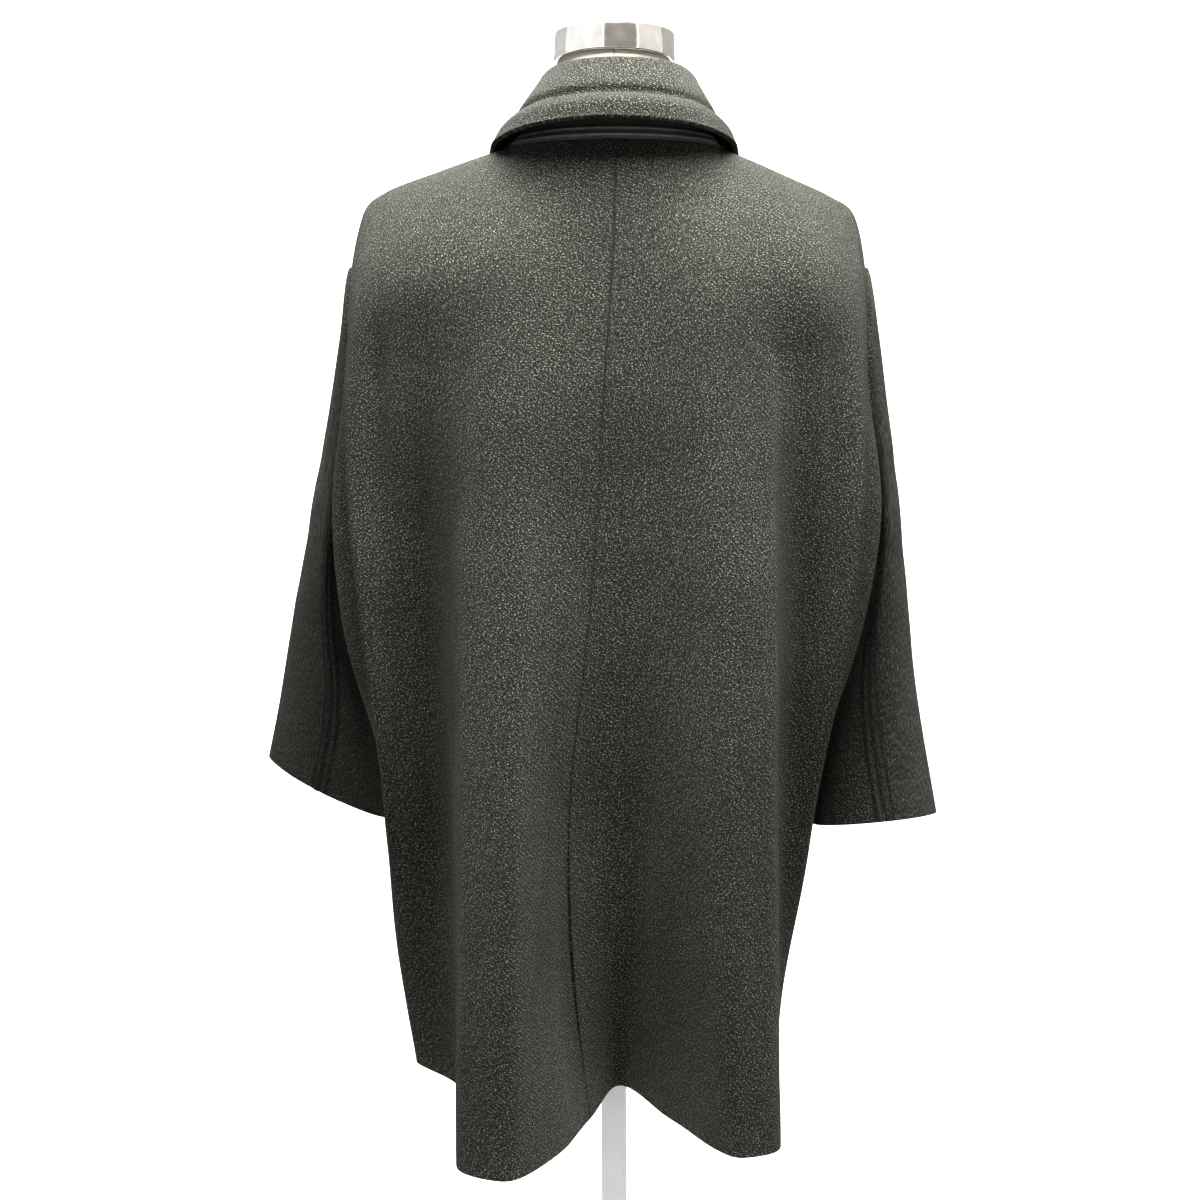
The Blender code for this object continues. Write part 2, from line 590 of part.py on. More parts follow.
def sleeve_panels(side):
    """Grids and shared normals of the upper and under sleeve of one side."""
    rings = sum(SLEEVE_SPLITS) + 1
    upper = sleeve_grid(side, sleeve_angles(rings, "upper"))
    under = sleeve_grid(side, sleeve_angles(rings, "under"))
    normals = []
    for grid in (upper, under):
        made = grid_normals(grid)
        middle = grid[rings // 2].mean(axis=0)
        outward = grid[rings // 2, grid.shape[1] // 2] - middle
        if np.dot(made[rings // 2, grid.shape[1] // 2], outward) < 0:
            made = -made
        normals.append(made)
    share_normals(normals[0][:, -1], normals[1][:, 0])
    share_normals(normals[0][:, 0], normals[1][:, -1])
    for grid in (upper, under):
        pull_in(grid, "first_column")
        pull_in(grid, "last_column")
    return (upper, normals[0]), (under, normals[1])


def collar_seam(panels):
    """Neck seam of the collar, from the left gorge round the back to the right one."""
    halves = []
    for side in ("left", "right"):
        back = panels["back", side][0][-1]
        front = panels["front", side][0][-1]
        neck = back[:back.shape[0] - sum(SHOULDER_SPLITS)]
        first = sum(SHOULDER_SPLITS)
        gorge = front[first + 1:first + 1 + NECKLINE_SPLITS[0]]
        halves.append(np.vstack([neck, gorge]))
    left, right = halves
    return np.vstack([left[::-1], right[1:]])


def line_shares(line):
    """Share of a line's length at each of its points."""
    lengths = np.concatenate([[0], np.cumsum(np.linalg.norm(np.diff(line, axis=0), axis=1))])
    return lengths / lengths[-1]


def along_collar(table, shift, shares):
    """Line of the collar through a table of points, from left front to right front."""
    left = [(shift + x, y, z) for x, y, z in table[::-1]]
    right = [(shift - x, y, z) for x, y, z in table[1:]]
    line = sample_line(left + right, [FINE_STEPS] * (2 * len(table) - 2))
    own = line_shares(line)
    return np.stack([np.interp(shares, own, line[:, axis]) for axis in range(3)], 1)


def bump(share, place, width):
    """Smooth bump of height one around a place."""
    return math.exp(-((share - place) / width) ** 2)


def collar_panels(panels):
    """Grids and normals of the collar's stand and of its leaf."""
    seam = collar_seam(panels)
    fold = along_collar(COLLAR_FOLD, FOLD_SHIFT, line_shares(seam))
    edge = along_collar(COLLAR_EDGE, EDGE_SHIFT, line_shares(seam))
    out = (edge - fold) * np.array((1.0, 1.0, 0.0))
    out /= np.linalg.norm(out, axis=1, keepdims=True)
    up = np.array((0.0, 0.0, 1.0))
    low, high = seam + up * LAY, fold + out * COLLAR_WALL
    stand = np.array([low + (high - low) * row / STAND_ROWS for row in range(STAND_ROWS + 1)])
    rise = np.cross(np.gradient(fold, axis=0), out)
    rise /= np.linalg.norm(rise, axis=1, keepdims=True)
    rise *= np.sign(rise[:, 2:])
    middle = fold + out * FOLD_RADIUS + rise * GAP
    rows = [middle + (out * math.cos(math.radians(a)) + rise * math.sin(math.radians(a))) * FOLD_RADIUS
            for a in FOLD_ANGLES]
    brink = rows[-1]
    fall = edge - brink
    facing = np.cross(fall, np.cross(up, out))
    facing /= np.linalg.norm(facing, axis=1, keepdims=True)
    facing *= np.sign((facing * out).sum(axis=1, keepdims=True))
    sideways = out[:, :1] ** 2
    behind = np.clip(out[:, 1:2], 0, 1)
    for row in range(1, LEAF_ROWS + 1):
        share = row / LEAF_ROWS
        lift = (LEAF_BULGE_BACK + sideways * (LEAF_BULGE_SIDE - LEAF_BULGE_BACK))
        lift = lift * math.sin(math.pi * share)
        lift -= behind * LEAF_CREASE[2] * bump(share, *LEAF_CREASE[:2])
        lift += behind * LEAF_ROLL[2] * bump(share, *LEAF_ROLL[:2])
        rows.append(brink + fall * share + facing * lift)
    leaf = np.array(rows)
    stand_normals, leaf_normals = outward(stand, out), outward(leaf, out)
    stand_normals[0] = out
    stand_normals[-1] = out
    leaf_normals[0] = -out
    return (stand, stand_normals), (leaf, leaf_normals)


def outward(grid, out):
    """Normals of a collar grid, turned so that its last row looks outward."""
    normals = grid_normals(grid)
    if (normals[-1] * out).sum() < 0:
        normals = -normals
    return normals


def leaf_walls():
    """Wall of each row of the leaf, thicker towards its edge."""
    arc = [COLLAR_WALL] * len(FOLD_ANGLES)
    fall = [COLLAR_WALL + (LEAF_EDGE_WALL - COLLAR_WALL) * row / LEAF_ROWS
            for row in range(1, LEAF_ROWS + 1)]
    return np.array(arc + fall)[:, None]


class Ground:
    """Outer face of a panel, on which smaller pieces are laid."""

    def __init__(self, grid):
        points = [Vector(point) for point in grid.reshape(-1, 3)]
        self.tree = BVHTree.FromPolygons(points, cut_cells(grid))

    def under(self, across, height):
        """Point of the face behind a place seen from the front."""
        hit = self.tree.ray_cast(Vector((across, -1.0, height)), Vector((0.0, 1.0, 0.0)))
        return np.array(hit[0])


def lapel_panel(side, ground):
    """Grid and normals of a lapel that lies on its front panel."""
    sign = SIDES[side]
    rows = []
    for row in range(LAPEL_ROWS + 1):
        share = row / LAPEL_ROWS
        roll = [a + (b - a) * share for a, b in zip(LAPEL_BREAK, LAPEL_GORGE)]
        rim = [a + (b - a) * share for a, b in zip(LAPEL_BREAK, LAPEL_POINT)]
        belly = LAPEL_BELLY * math.sin(math.pi * share)
        rim[0] += LAPEL_START * (1 - share) + belly
        line = []
        for column in range(LAPEL_COLUMNS + 1):
            part = column / LAPEL_COLUMNS
            place = [a + (b - a) * part for a, b in zip(roll, rim)]
            line.append(ground.under(sign * place[0], place[1]))
        rows.append(line)
    grid = np.array(rows)
    normals = grid_normals(grid)
    if normals[LAPEL_ROWS // 2, 1, 1] > 0:
        normals = -normals
    return grid + normals * (LAPEL_LIFT + WALL), normals


def turned_mesh(name, profile, sides):
    """Turned solid from a profile of radius and height, closed at both ends."""
    form = bmesh.new()
    rings = []
    for radius, height in profile:
        ring = [form.verts.new((radius * math.cos(2 * math.pi * step / sides),
                                radius * math.sin(2 * math.pi * step / sides), height))
                for step in range(sides)]
        rings.append(ring)
    for lower, upper in zip(rings, rings[1:]):
        for step in range(sides):
            after = (step + 1) % sides
            form.faces.new((lower[step], lower[after], upper[after], upper[step]))
    form.faces.new(rings[0][::-1])
    form.faces.new(rings[-1])
    mesh = bpy.data.meshes.new(name)
    form.to_mesh(mesh)
    form.free()
    return mesh


def add_buttons(ground, finish, home):
    """Plain dished buttons down the lapped front."""
    rim, flat = BUTTON_RADIUS, BUTTON_RADIUS * 0.62
    profile = ((rim - 0.001, 0.0), (rim, 0.0012), (rim - 0.0006, BUTTON_THICK),
               (flat + 0.001, BUTTON_THICK), (flat, BUTTON_THICK - BUTTON_DISH))
    for number, height in enumerate(BUTTON_HEIGHTS, 1):
        mesh = turned_mesh("button", profile, BUTTON_SIDES)
        seat = ground.under(0.0, height)
        above, below = ground.under(0.0, height + rim), ground.under(0.0, height - rim)
        piece = add_object(f"button_{number}", mesh, finish, home)
        lean = math.atan2(above[1] - below[1], 2 * rim)
        piece.rotation_euler = (math.pi / 2 - lean, 0.0, 0.0)
        piece.location = (0.0, seat[1] - BUTTON_LIFT, height)


def crest_height(side, across):
    """Height of the dress form's shoulder crest under the coat's seam."""
    near, far = SHOULDER[side][0], SHOULDER[side][3]
    share = (across - near[0]) / (far[0] - near[0])
    slope = math.atan2(near[2] - far[2], far[0] - near[0])
    drop = (WALL + FORM_CLEARANCE) / math.cos(slope)
    return near[2] + (far[2] - near[2]) * share - drop


def keep_under(points, covers):
    """Move the form's points that would touch the coat to just under its wall."""
    reach = WALL + FORM_CLEARANCE
    for point in points:
        for cover in covers:
            spot, normal, _, _ = cover.tree.find_nearest(point)
            if normal.z < 0:
                normal = -normal
            near = (point - spot).length < FORM_REACH
            if near and normal.z > 0.05 and point.z > FORM_COVERED_Z:
                depth = (point - spot).dot(normal)
                if -reach < depth < reach * 4:
                    point -= normal * (depth + reach)


def form_mesh(covers):
    """Limbless torso with its neck, lofted through the rings."""
    form = bmesh.new()
    rings = []
    for half, back, front, side_z, back_z, front_z in FORM_RINGS:
        ring = []
        for step in range(FORM_SIDES):
            angle = 2 * math.pi * step / FORM_SIDES
            across, away = math.cos(angle), math.sin(angle)
            side = "left" if across > 0 else "right"
            rim_z = crest_height(side, half) if side_z is None else side_z
            far, far_z = (back, back_z) if away > 0 else (-front, front_z)
            height = rim_z + (far_z - rim_z) * abs(away) ** CREST_POWER
            ring.append(form.verts.new((half * across, far * away, height)))
        rings.append(ring)
    keep_under([vertex.co for ring in rings for vertex in ring], covers)
    for upper, lower in zip(rings, rings[1:]):
        for step in range(FORM_SIDES):
            after = (step + 1) % FORM_SIDES
            form.faces.new((lower[step], lower[after], upper[after], upper[step]))
    form.faces.new(rings[0])
    form.faces.new(rings[-1][::-1])
    mesh = bpy.data.meshes.new("dress_form")
    form.to_mesh(mesh)
    form.free()
    return mesh


def build():
    """Make every piece of the coat and of the stand under it."""
    clear_scene()
    home = collection()
    wool = material("wool", (0.055, 0.058, 0.048), 0.95)
    felt = material("felt", (0.060, 0.060, 0.056), 0.9)
    cream = material("form_cover", (0.80, 0.74, 0.64), 0.7)
    chrome = material("chrome", (0.80, 0.79, 0.77), 0.15, 1.0)
    white = material("stand", (0.85, 0.85, 0.84), 0.35)
    horn = material("button", (0.03, 0.028, 0.025), 0.35)

    panels = body_panels()
    for (part, side), (grid, normals) in panels.items():
        add_object(f"{part}_{side}", wall_mesh(f"{part}_{side}", grid, normals), wool, home)
    for side in SIDES:
        for part, (grid, normals) in zip(("upper", "under"), sleeve_panels(side)):
            name = f"sleeve_{part}_{side}"
            add_object(name, wall_mesh(name, grid, normals), wool, home)
    for side in SIDES:
        ground = Ground(panels["front", side][0])
        add_object(f"lapel_{side}", wall_mesh("lapel", *lapel_panel(side, ground)), wool, home)
    stand, leaf = collar_panels(panels)
    add_object("collar_stand", wall_mesh("collar_stand", *stand, COLLAR_WALL), felt, home)
    add_object("collar_leaf", wall_mesh("collar_leaf", *leaf, leaf_walls(), turned=True), wool, home)
    add_buttons(Ground(panels["front", "left"][0]), horn, home)
    covers = [Ground(grid) for grid, normals in panels.values()]
    add_object("dress_form", form_mesh(covers), cream, home)

    cap_low = FORM_RINGS[0][3] + GAP
    cap_top = cap_low + CAP_HEIGHT
    cap = turned_mesh("neck_cap", ((CAP_RADIUS - CAP_BEVEL, cap_low), (CAP_RADIUS, cap_low + CAP_BEVEL),
                                   (CAP_RADIUS, cap_top - CAP_BEVEL), (CAP_RADIUS - CAP_BEVEL, cap_top)),
                      TURNED_SIDES)
    add_object("neck_cap", cap, chrome, home)
    pole_top = FORM_RINGS[-1][3] - GAP
    pole = turned_mesh("pole", ((POLE_RADIUS, BASE_HEIGHT + GAP), (POLE_RADIUS, pole_top)), 20)
    add_object("pole", pole, white, home)
    base = turned_mesh("base", ((BASE_RADIUS - 0.002, 0.0), (BASE_RADIUS, 0.002),
                                (BASE_RADIUS, BASE_RIM - 0.002), (BASE_RADIUS - 0.003, BASE_RIM),
                                (HUB_RADIUS, BASE_HEIGHT - 0.006), (HUB_RADIUS - 0.006, BASE_HEIGHT)),
                       48)
    add_object("base", base, white, home)


build()
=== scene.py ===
# Chesterfield coat of thick flecked wool on a limbless dress form, seen from behind.
# Metres, +Z up, floor at Z 0. The front faces -Y and the wearer's left is +X.

import math

import bmesh
import bpy
import numpy as np
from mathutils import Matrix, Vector, noise
from mathutils.bvhtree import BVHTree

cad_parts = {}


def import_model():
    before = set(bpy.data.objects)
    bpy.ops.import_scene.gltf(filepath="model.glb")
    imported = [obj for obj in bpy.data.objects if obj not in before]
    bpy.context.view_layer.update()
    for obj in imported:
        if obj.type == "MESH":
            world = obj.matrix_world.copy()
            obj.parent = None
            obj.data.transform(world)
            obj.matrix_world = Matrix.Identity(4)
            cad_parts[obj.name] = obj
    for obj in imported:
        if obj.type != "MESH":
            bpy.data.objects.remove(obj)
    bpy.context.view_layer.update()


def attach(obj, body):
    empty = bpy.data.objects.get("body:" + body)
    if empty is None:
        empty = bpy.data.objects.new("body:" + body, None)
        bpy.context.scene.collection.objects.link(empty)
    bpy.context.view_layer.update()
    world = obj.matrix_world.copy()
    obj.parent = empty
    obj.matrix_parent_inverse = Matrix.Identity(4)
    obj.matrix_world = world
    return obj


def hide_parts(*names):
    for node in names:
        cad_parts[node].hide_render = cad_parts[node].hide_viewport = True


# Every grid is this many times finer than its solid
FINER = 4


def finer(*counts):
    """Numbers of steps on the solid, made finer."""
    return tuple(FINER * count for count in counts)


# Cloth: wall, seam gap, gap under the collar and how far a curve's handles may reach
WALL = 0.003
GAP = 0.0003
LAY = 0.0004
HANDLE_LIMIT = 1.5

# Heights of the seven levels that the guide lines pass, hem first
HEIGHTS = (0.515, 0.650, 0.800, 0.950, 1.060, 1.180, 1.285)
ROW_SPLITS = finer(3, 3, 2, 2, 4, 3, 4)
ARMHOLE_ROWS = sum(ROW_SPLITS[4:])
FINE_STEPS = 24

# Neck seam, as half an ellipse around the neck
NECK_HALF_WIDTH = 0.105
NECK_DEPTH = 0.090
NECK_BACK_Z = 1.3935
NECK_SIDE_Z = 1.4020
SEAM_TOP_X = -0.002

# Armholes: centre height, half height, half depth and place of the ring's middle
ARMHOLE_Z = 1.179
ARMHOLE_HALF_HEIGHT = 0.119
ARMHOLE_HALF_DEPTH = 0.055
ARMHOLE_Y = -0.040
SIDES = {"left": 1.0, "right": -1.0}
ARMHOLE_X = {"left": (0.2485, 0.2450), "right": (0.2380, 0.2340)}

# Shoulder seams from the neck point to the armhole's top: x, y, z
SHOULDER = {
    "left": ((0.105, 0.000, 1.4020), (0.129, -0.001, 1.3945), (0.165, -0.004, 1.3822),
             (0.215, -0.008, 1.3642), (0.2330, -0.014, 1.3530), (0.2425, -0.024, 1.3320),
             (0.2465, -0.032, 1.3140), (0.2485, -0.040, 1.2980)),
    "right": ((0.105, 0.000, 1.4020), (0.127, -0.001, 1.3930), (0.160, -0.004, 1.3790),
              (0.204, -0.008, 1.3600), (0.2240, -0.014, 1.3490), (0.2335, -0.024, 1.3290),
              (0.2365, -0.032, 1.3130), (0.2380, -0.040, 1.2980)),
}

# The centre-back seam that both back panels share, x and y at each level
BACK_SEAM = ((0.022, 0.105), (0.036, 0.126), (0.038, 0.128), (0.022, 0.125),
             (0.014, 0.121), (0.008, 0.117), (0.001, 0.108))
BACK_SEAM_HEM_Z = 0.512

# Guide lines down each back panel: hem height, then x and y at each level, then the neck angle
# in degrees where the line ends, or None where it ends on the shoulder seam
BACK_GUIDES = {
    "left": (
        ("flank", 0.500, ((0.042, 0.165), (0.056, 0.165), (0.056, 0.153), (0.048, 0.140),
                          (0.046, 0.130), (0.040, 0.121), (0.034, 0.109)), 28),
        ("lobe", 0.488, ((0.092, 0.232), (0.090, 0.214), (0.088, 0.190), (0.088, 0.165),
                         (0.086, 0.148), (0.080, 0.131), (0.072, 0.111)), 58),
        ("corner", 0.491, ((0.128, 0.214), (0.130, 0.192), (0.131, 0.168), (0.133, 0.142),
                           (0.136, 0.122), (0.132, 0.110), (0.122, 0.102)), None),
        ("wall", 0.499, ((0.1335, 0.158), (0.1365, 0.140), (0.1395, 0.125), (0.1430, 0.114),
                         (0.1470, 0.107), (0.1460, 0.102), (0.1400, 0.0975)), None),
        ("valley", 0.527, ((0.149, 0.020), (0.158, 0.032), (0.168, 0.048), (0.176, 0.066),
                           (0.180, 0.080), (0.184, 0.090), (0.180, 0.086)), None),
        ("ridge", 0.541, ((0.187, -0.005), (0.202, 0.010), (0.2130, 0.048), (0.2300, 0.066),
                          (0.2415, 0.064), (0.2455, 0.057), (0.2310, 0.046)), None),
        ("tuck", 0.545, ((0.187, -0.022), (0.203, -0.010), (0.2140, 0.028), (0.2290, 0.048),
                         (0.2400, 0.047), (0.2480, 0.042), (0.2430, 0.026)), None),
        ("strip", 0.548, ((0.184, -0.036), (0.200, -0.030), (0.2130, 0.006), (0.2500, 0.030),
                          (0.2620, 0.028), (0.2510, 0.028), (0.2465, 0.013)), None),
        ("hollow", 0.549, ((0.181, -0.045), (0.1965, -0.044), (0.2095, -0.030), (0.2335, -0.010),
                           (0.2470, 0.000), (0.2475, 0.021), (0.2475, 0.004)), None),
    ),
    "right": (
        ("trough", 0.532, ((0.002, 0.060), (0.006, 0.088), (0.006, 0.108), (0.010, 0.118),
                           (0.014, 0.118), (0.016, 0.116), (0.018, 0.108)), 15),
        ("rise", 0.516, ((0.048, 0.120), (0.046, 0.128), (0.046, 0.136), (0.048, 0.132),
                         (0.050, 0.126), (0.048, 0.119), (0.044, 0.108)), 36),
        ("lobe", 0.499, ((0.108, 0.196), (0.104, 0.184), (0.102, 0.170), (0.100, 0.150),
                         (0.092, 0.135), (0.084, 0.123), (0.074, 0.109)), 60),
        ("corner", 0.501, ((0.138, 0.185), (0.140, 0.167), (0.142, 0.151), (0.144, 0.134),
                           (0.144, 0.116), (0.138, 0.106), (0.124, 0.100)), None),
        ("wall", 0.507, ((0.1435, 0.138), (0.1450, 0.124), (0.1470, 0.113), (0.1500, 0.106),
                         (0.1530, 0.102), (0.1500, 0.098), (0.1400, 0.095)), None),
        ("valley", 0.525, ((0.148, 0.030), (0.154, 0.038), (0.165, 0.050), (0.175, 0.064),
                           (0.178, 0.080), (0.182, 0.088), (0.176, 0.084)), None),
        ("ridge", 0.535, ((0.151, 0.000), (0.168, 0.012), (0.1885, 0.044), (0.2165, 0.068),
                          (0.2280, 0.070), (0.2280, 0.062), (0.2190, 0.046)), None),
        ("tuck", 0.540, ((0.151, -0.018), (0.168, -0.010), (0.1875, 0.020), (0.2170, 0.050),
                         (0.2290, 0.052), (0.2340, 0.045), (0.2310, 0.026)), None),
        ("strip", 0.545, ((0.149, -0.034), (0.165, -0.030), (0.1840, -0.010), (0.2330, 0.030),
                          (0.2500, 0.030), (0.2370, 0.029), (0.2350, 0.013)), None),
        ("hollow", 0.548, ((0.147, -0.044), (0.1625, -0.044), (0.1800, -0.034), (0.2130, -0.014),
                           (0.2360, 0.000), (0.2370, 0.021), (0.2370, 0.004)), None),
    ),
}

# Side seam below the armhole, x and y at the first four levels
SIDE_SEAM = {
    "left": ((0.178, -0.052), (0.193, -0.055), (0.206, -0.055), (0.228, -0.052)),
    "right": ((0.145, -0.052), (0.160, -0.055), (0.177, -0.055), (0.206, -0.056)),
}
SIDE_HEM_Z = 0.549

# Guide lines down each front panel from the side to the edge: hem height, then x, y at each
# level; the last two lines end on the neckline and have their own heights
FRONT_WIDTH = {"left": (1.0, 1.0, 1.0, 1.0, 1.0, 1.0, 1.0),
               "right": (0.86, 0.89, 0.92, 0.95, 0.96, 0.96, 0.96)}
FRONT_GUIDES = (
    ("front_hollow", 0.548, ((0.1765, -0.059), (0.1915, -0.063), (0.2045, -0.063),
                             (0.2250, -0.064), (0.2440, -0.080), (0.2455, -0.101),
                             (0.2460, -0.083))),
    ("front_strip", 0.546, ((0.174, -0.067), (0.189, -0.072), (0.202, -0.072), (0.221, -0.074),
                            (0.240, -0.089), (0.2430, -0.107), (0.2430, -0.088))),
    ("front_tuck", 0.543, ((0.169, -0.081), (0.184, -0.086), (0.197, -0.086), (0.213, -0.090),
                           (0.231, -0.102), (0.2350, -0.115), (0.2350, -0.092))),
    ("front_ridge", 0.540, ((0.160, -0.094), (0.173, -0.101), (0.186, -0.104), (0.199, -0.108),
                            (0.213, -0.117), (0.2190, -0.125), (0.2180, -0.095))),
    ("princess", 0.536, ((0.138, -0.116), (0.146, -0.124), (0.154, -0.130), (0.162, -0.134),
                         (0.168, -0.140), (0.171, -0.141), (0.166, -0.104))),
    ("breast", 0.533, ((0.118, -0.127), (0.124, -0.135), (0.130, -0.142), (0.136, -0.147),
                       (0.139, -0.151), (0.138, -0.149), (0.132, -0.110))),
    ("chest", 0.530, ((0.096, -0.136), (0.100, -0.144), (0.104, -0.152), (0.106, -0.157),
                      (0.108, -0.160), (0.108, -0.154), (0.106, -0.112))),
)
GORGE_HEIGHTS = (0.527, 0.640, 0.780, 0.910, 1.000, 1.110, 1.225, 1.322)
GORGE_LINE = ((0.046, -0.146), (0.048, -0.153), (0.050, -0.160), (0.052, -0.166),
              (0.054, -0.168), (0.058, -0.166), (0.068, -0.148), (0.080, -0.105))
EDGE_HEIGHTS = (0.526, 0.630, 0.750, 0.860, 0.940, 1.010, 1.070, 1.120)
EDGE_Y = (-0.148, -0.155, -0.161, -0.166, -0.1685, -0.1695, -0.1700, -0.1690)
EDGE_LAP = 0.030
UNDERLAP = 0.0048
UNDERLAP_FADE = (0.036, 0.070)

# Columns of each panel between one guide line and the next
NECK_SPLITS = {"left": finer(2, 3, 3),
               "right": finer(2, 2, 2, 3)}
SHOULDER_SPLITS = finer(2, 3, 3, 2, 2, 2, 1)
NECKLINE_SPLITS = finer(3, 4)

# Sleeves: outer point, inner point, half depth and forward tilt in degrees of each ring
SLEEVE_STATIONS = {
    "left": (
        ("cap", (0.2615, -0.047, 1.2400), (0.2530, -0.045, 1.0500), 0.057, 0),
        ("crown", (0.2745, -0.061, 1.1650), (0.2590, -0.048, 1.0350), 0.060, 1),
        ("upper arm", (0.2915, -0.085, 1.0900), (0.2630, -0.056, 1.0050), 0.061, 2),
        ("elbow", (0.3125, -0.121, 1.0000), (0.2590, -0.080, 0.9400), 0.060, 3),
        ("forearm", (0.3335, -0.160, 0.9100), (0.2385, -0.130, 0.8550), 0.056, 5),
        ("cuff", (0.3560, -0.200, 0.8200), (0.2300, -0.192, 0.7570), 0.053, 5),
    ),
    "right": (
        ("cap", (0.2525, -0.041, 1.2400), (0.2435, -0.045, 1.0500), 0.057, 0),
        ("crown", (0.2615, -0.043, 1.1650), (0.2480, -0.047, 1.0350), 0.059, 0),
        ("upper arm", (0.2710, -0.044, 1.0900), (0.2450, -0.050, 1.0050), 0.059, 0),
        ("elbow", (0.2800, -0.044, 1.0000), (0.2290, -0.054, 0.9400), 0.056, 0),
        ("forearm", (0.2880, -0.043, 0.9100), (0.2080, -0.053, 0.8600), 0.052, 0),
        ("cuff", (0.3100, -0.042, 0.7750), (0.1915, -0.044, 0.7630), 0.050, 0),
    ),
}
SLEEVE_SPLITS = finer(1, 2, 2, 2, 3, 3, 3)
SLEEVE_FIT = GAP * 1.3
LIP_OUT = 0.0045
RING_PACE = 0.2
RING_STEP = math.pi / ARMHOLE_ROWS
UNDER_COLUMNS = 7 * FINER
UPPER_COLUMNS = 2 * ARMHOLE_ROWS - UNDER_COLUMNS
BACK_SEAM_STEPS = 8 * FINER
FRONT_SEAM_ANGLE = -(UPPER_COLUMNS - BACK_SEAM_STEPS) * RING_STEP
SEAM_SWING = ((0.0, BACK_SEAM_STEPS * RING_STEP), (0.12, BACK_SEAM_STEPS * RING_STEP),
              (0.66, math.radians(114)), (1.0, math.radians(86)))

# Collar: the stand's top on the neck side, then the leaf's edge, from the back to the front
COLLAR_FOLD = ((0.000, 0.0670, 1.4640), (0.045, 0.0510, 1.4635), (0.0630, 0.012, 1.4610),
               (0.0690, -0.030, 1.4440), (0.0740, -0.070, 1.4020), (0.0810, -0.106, 1.3360))
COLLAR_EDGE = ((0.000, 0.1170, 1.4085), (0.066, 0.0970, 1.4070), (0.1090, 0.034, 1.4055),
               (0.1190, -0.024, 1.4035), (0.1240, -0.080, 1.3760), (0.1230, -0.132, 1.3220))
FOLD_SHIFT = -0.0045
COLLAR_WALL = 0.0035
FOLD_RADIUS = 0.0075
FOLD_ANGLES = tuple(range(180, 15, -15))
LEAF_ROWS = 9 * FINER
LEAF_EDGE_WALL = 0.0050
LEAF_BULGE = 0.0020
STAND_ROWS = 15 * FINER

# Crease and roll across the leaf: share of its fall, width and height
LEAF_CREASE = (0.55, 0.060, 0.0046)
LEAF_ROLL = (0.80, 0.14, 0.0048)

# Lapels: break, gorge and point, x and z on the front panels
LAPEL_BREAK = (0.0120, 1.190)
LAPEL_GORGE = (0.0810, 1.3080)
LAPEL_POINT = (0.1260, 1.2860)
LAPEL_START = 0.006
LAPEL_BELLY = 0.006
LAPEL_LIFT = 0.0017
LAPEL_COLUMNS = 5 * FINER
LAPEL_ROWS = 10 * FINER

# Buttons on the left front
BUTTON_HEIGHTS = (1.085, 0.970, 0.855)
BUTTON_RADIUS = 0.0125
BUTTON_FLAT = 0.62
BUTTON_SIDES = 64
BUTTON_THICK = 0.0040
BUTTON_DISH = 0.0014
BUTTON_LIFT = 0.0008

# Dress form rings: half width, back y, front y, then the heights at side, back and front
FORM_RINGS = (
    (0.0540, 0.0540, -0.0540, 1.4835, 1.4835, 1.4835),
    (0.0520, 0.0530, -0.0530, 1.4500, 1.4450, 1.4300),
    (0.0560, 0.0570, -0.0570, 1.4240, 1.4180, 1.3900),
    (0.0720, 0.0640, -0.0680, 1.4040, 1.3940, 1.3560),
    (0.1050, 0.0730, -0.0830, None, 1.3680, 1.3260),
    (0.1350, 0.0800, -0.0960, None, 1.3410, 1.2980),
    (0.1650, 0.0850, -0.1060, None, 1.3100, 1.2680),
    (0.1860, 0.0890, -0.1140, 1.3560, 1.2740, 1.2380),
    (0.1940, 0.0910, -0.1190, 1.3260, 1.2380, 1.2050),
    (0.1900, 0.0920, -0.1220, 1.2680, 1.2000, 1.1700),
    (0.1780, 0.0900, -0.1230, 1.1900, 1.1500, 1.1300),
    (0.1620, 0.0830, -0.1180, 1.1100, 1.0900, 1.0800),
    (0.1380, 0.0700, -0.0980, 1.0100, 1.0050, 1.0000),
    (0.1400, 0.0760, -0.0940, 0.9400, 0.9400, 0.9400),
    (0.1500, 0.0860, -0.0960, 0.8600, 0.8600, 0.8600),
    (0.1480, 0.0820, -0.0950, 0.7900, 0.7900, 0.7900),
    (0.1340, 0.0720, -0.0850, 0.7500, 0.7500, 0.7500),
    (0.1040, 0.0560, -0.0640, 0.7400, 0.7400, 0.7400),
)
CREST_POWER = 1.2
FORM_SIDES = 32
FORM_CLEARANCE = 0.0007
FORM_COVERED_Z = 1.300
FORM_REACH = 0.012
FORM_FACING = 0.05
FORM_DEPTH = 4
FORM_TOP = FORM_RINGS[0][3]

# Neck cap, pole and base, all turned
CAP_RADIUS = 0.0575
CAP_HEIGHT = 0.0270
POLE_RADIUS = 0.0120
BASE_RADIUS = 0.190
BASE_RIM = 0.008
BASE_HEIGHT = 0.022
HUB_RADIUS = 0.030
SLOPE_STEPS = 8
CAP_SIDES = 160
POLE_SIDES = 64
BASE_SIDES = 128

# Waves of the cloth: pace over x, y and z, shift and height
WAVES = (((13.0, 13.0, 5.5), (4.0, 0.0, 0.0), 0.0036),
         ((34.0, 34.0, 17.0), (0.0, 9.0, 0.0), 0.0006))
SLEEVE_RELIEF = 0.45
CREASE_TAPER = 0.04
CREASE_POWER = 0.6

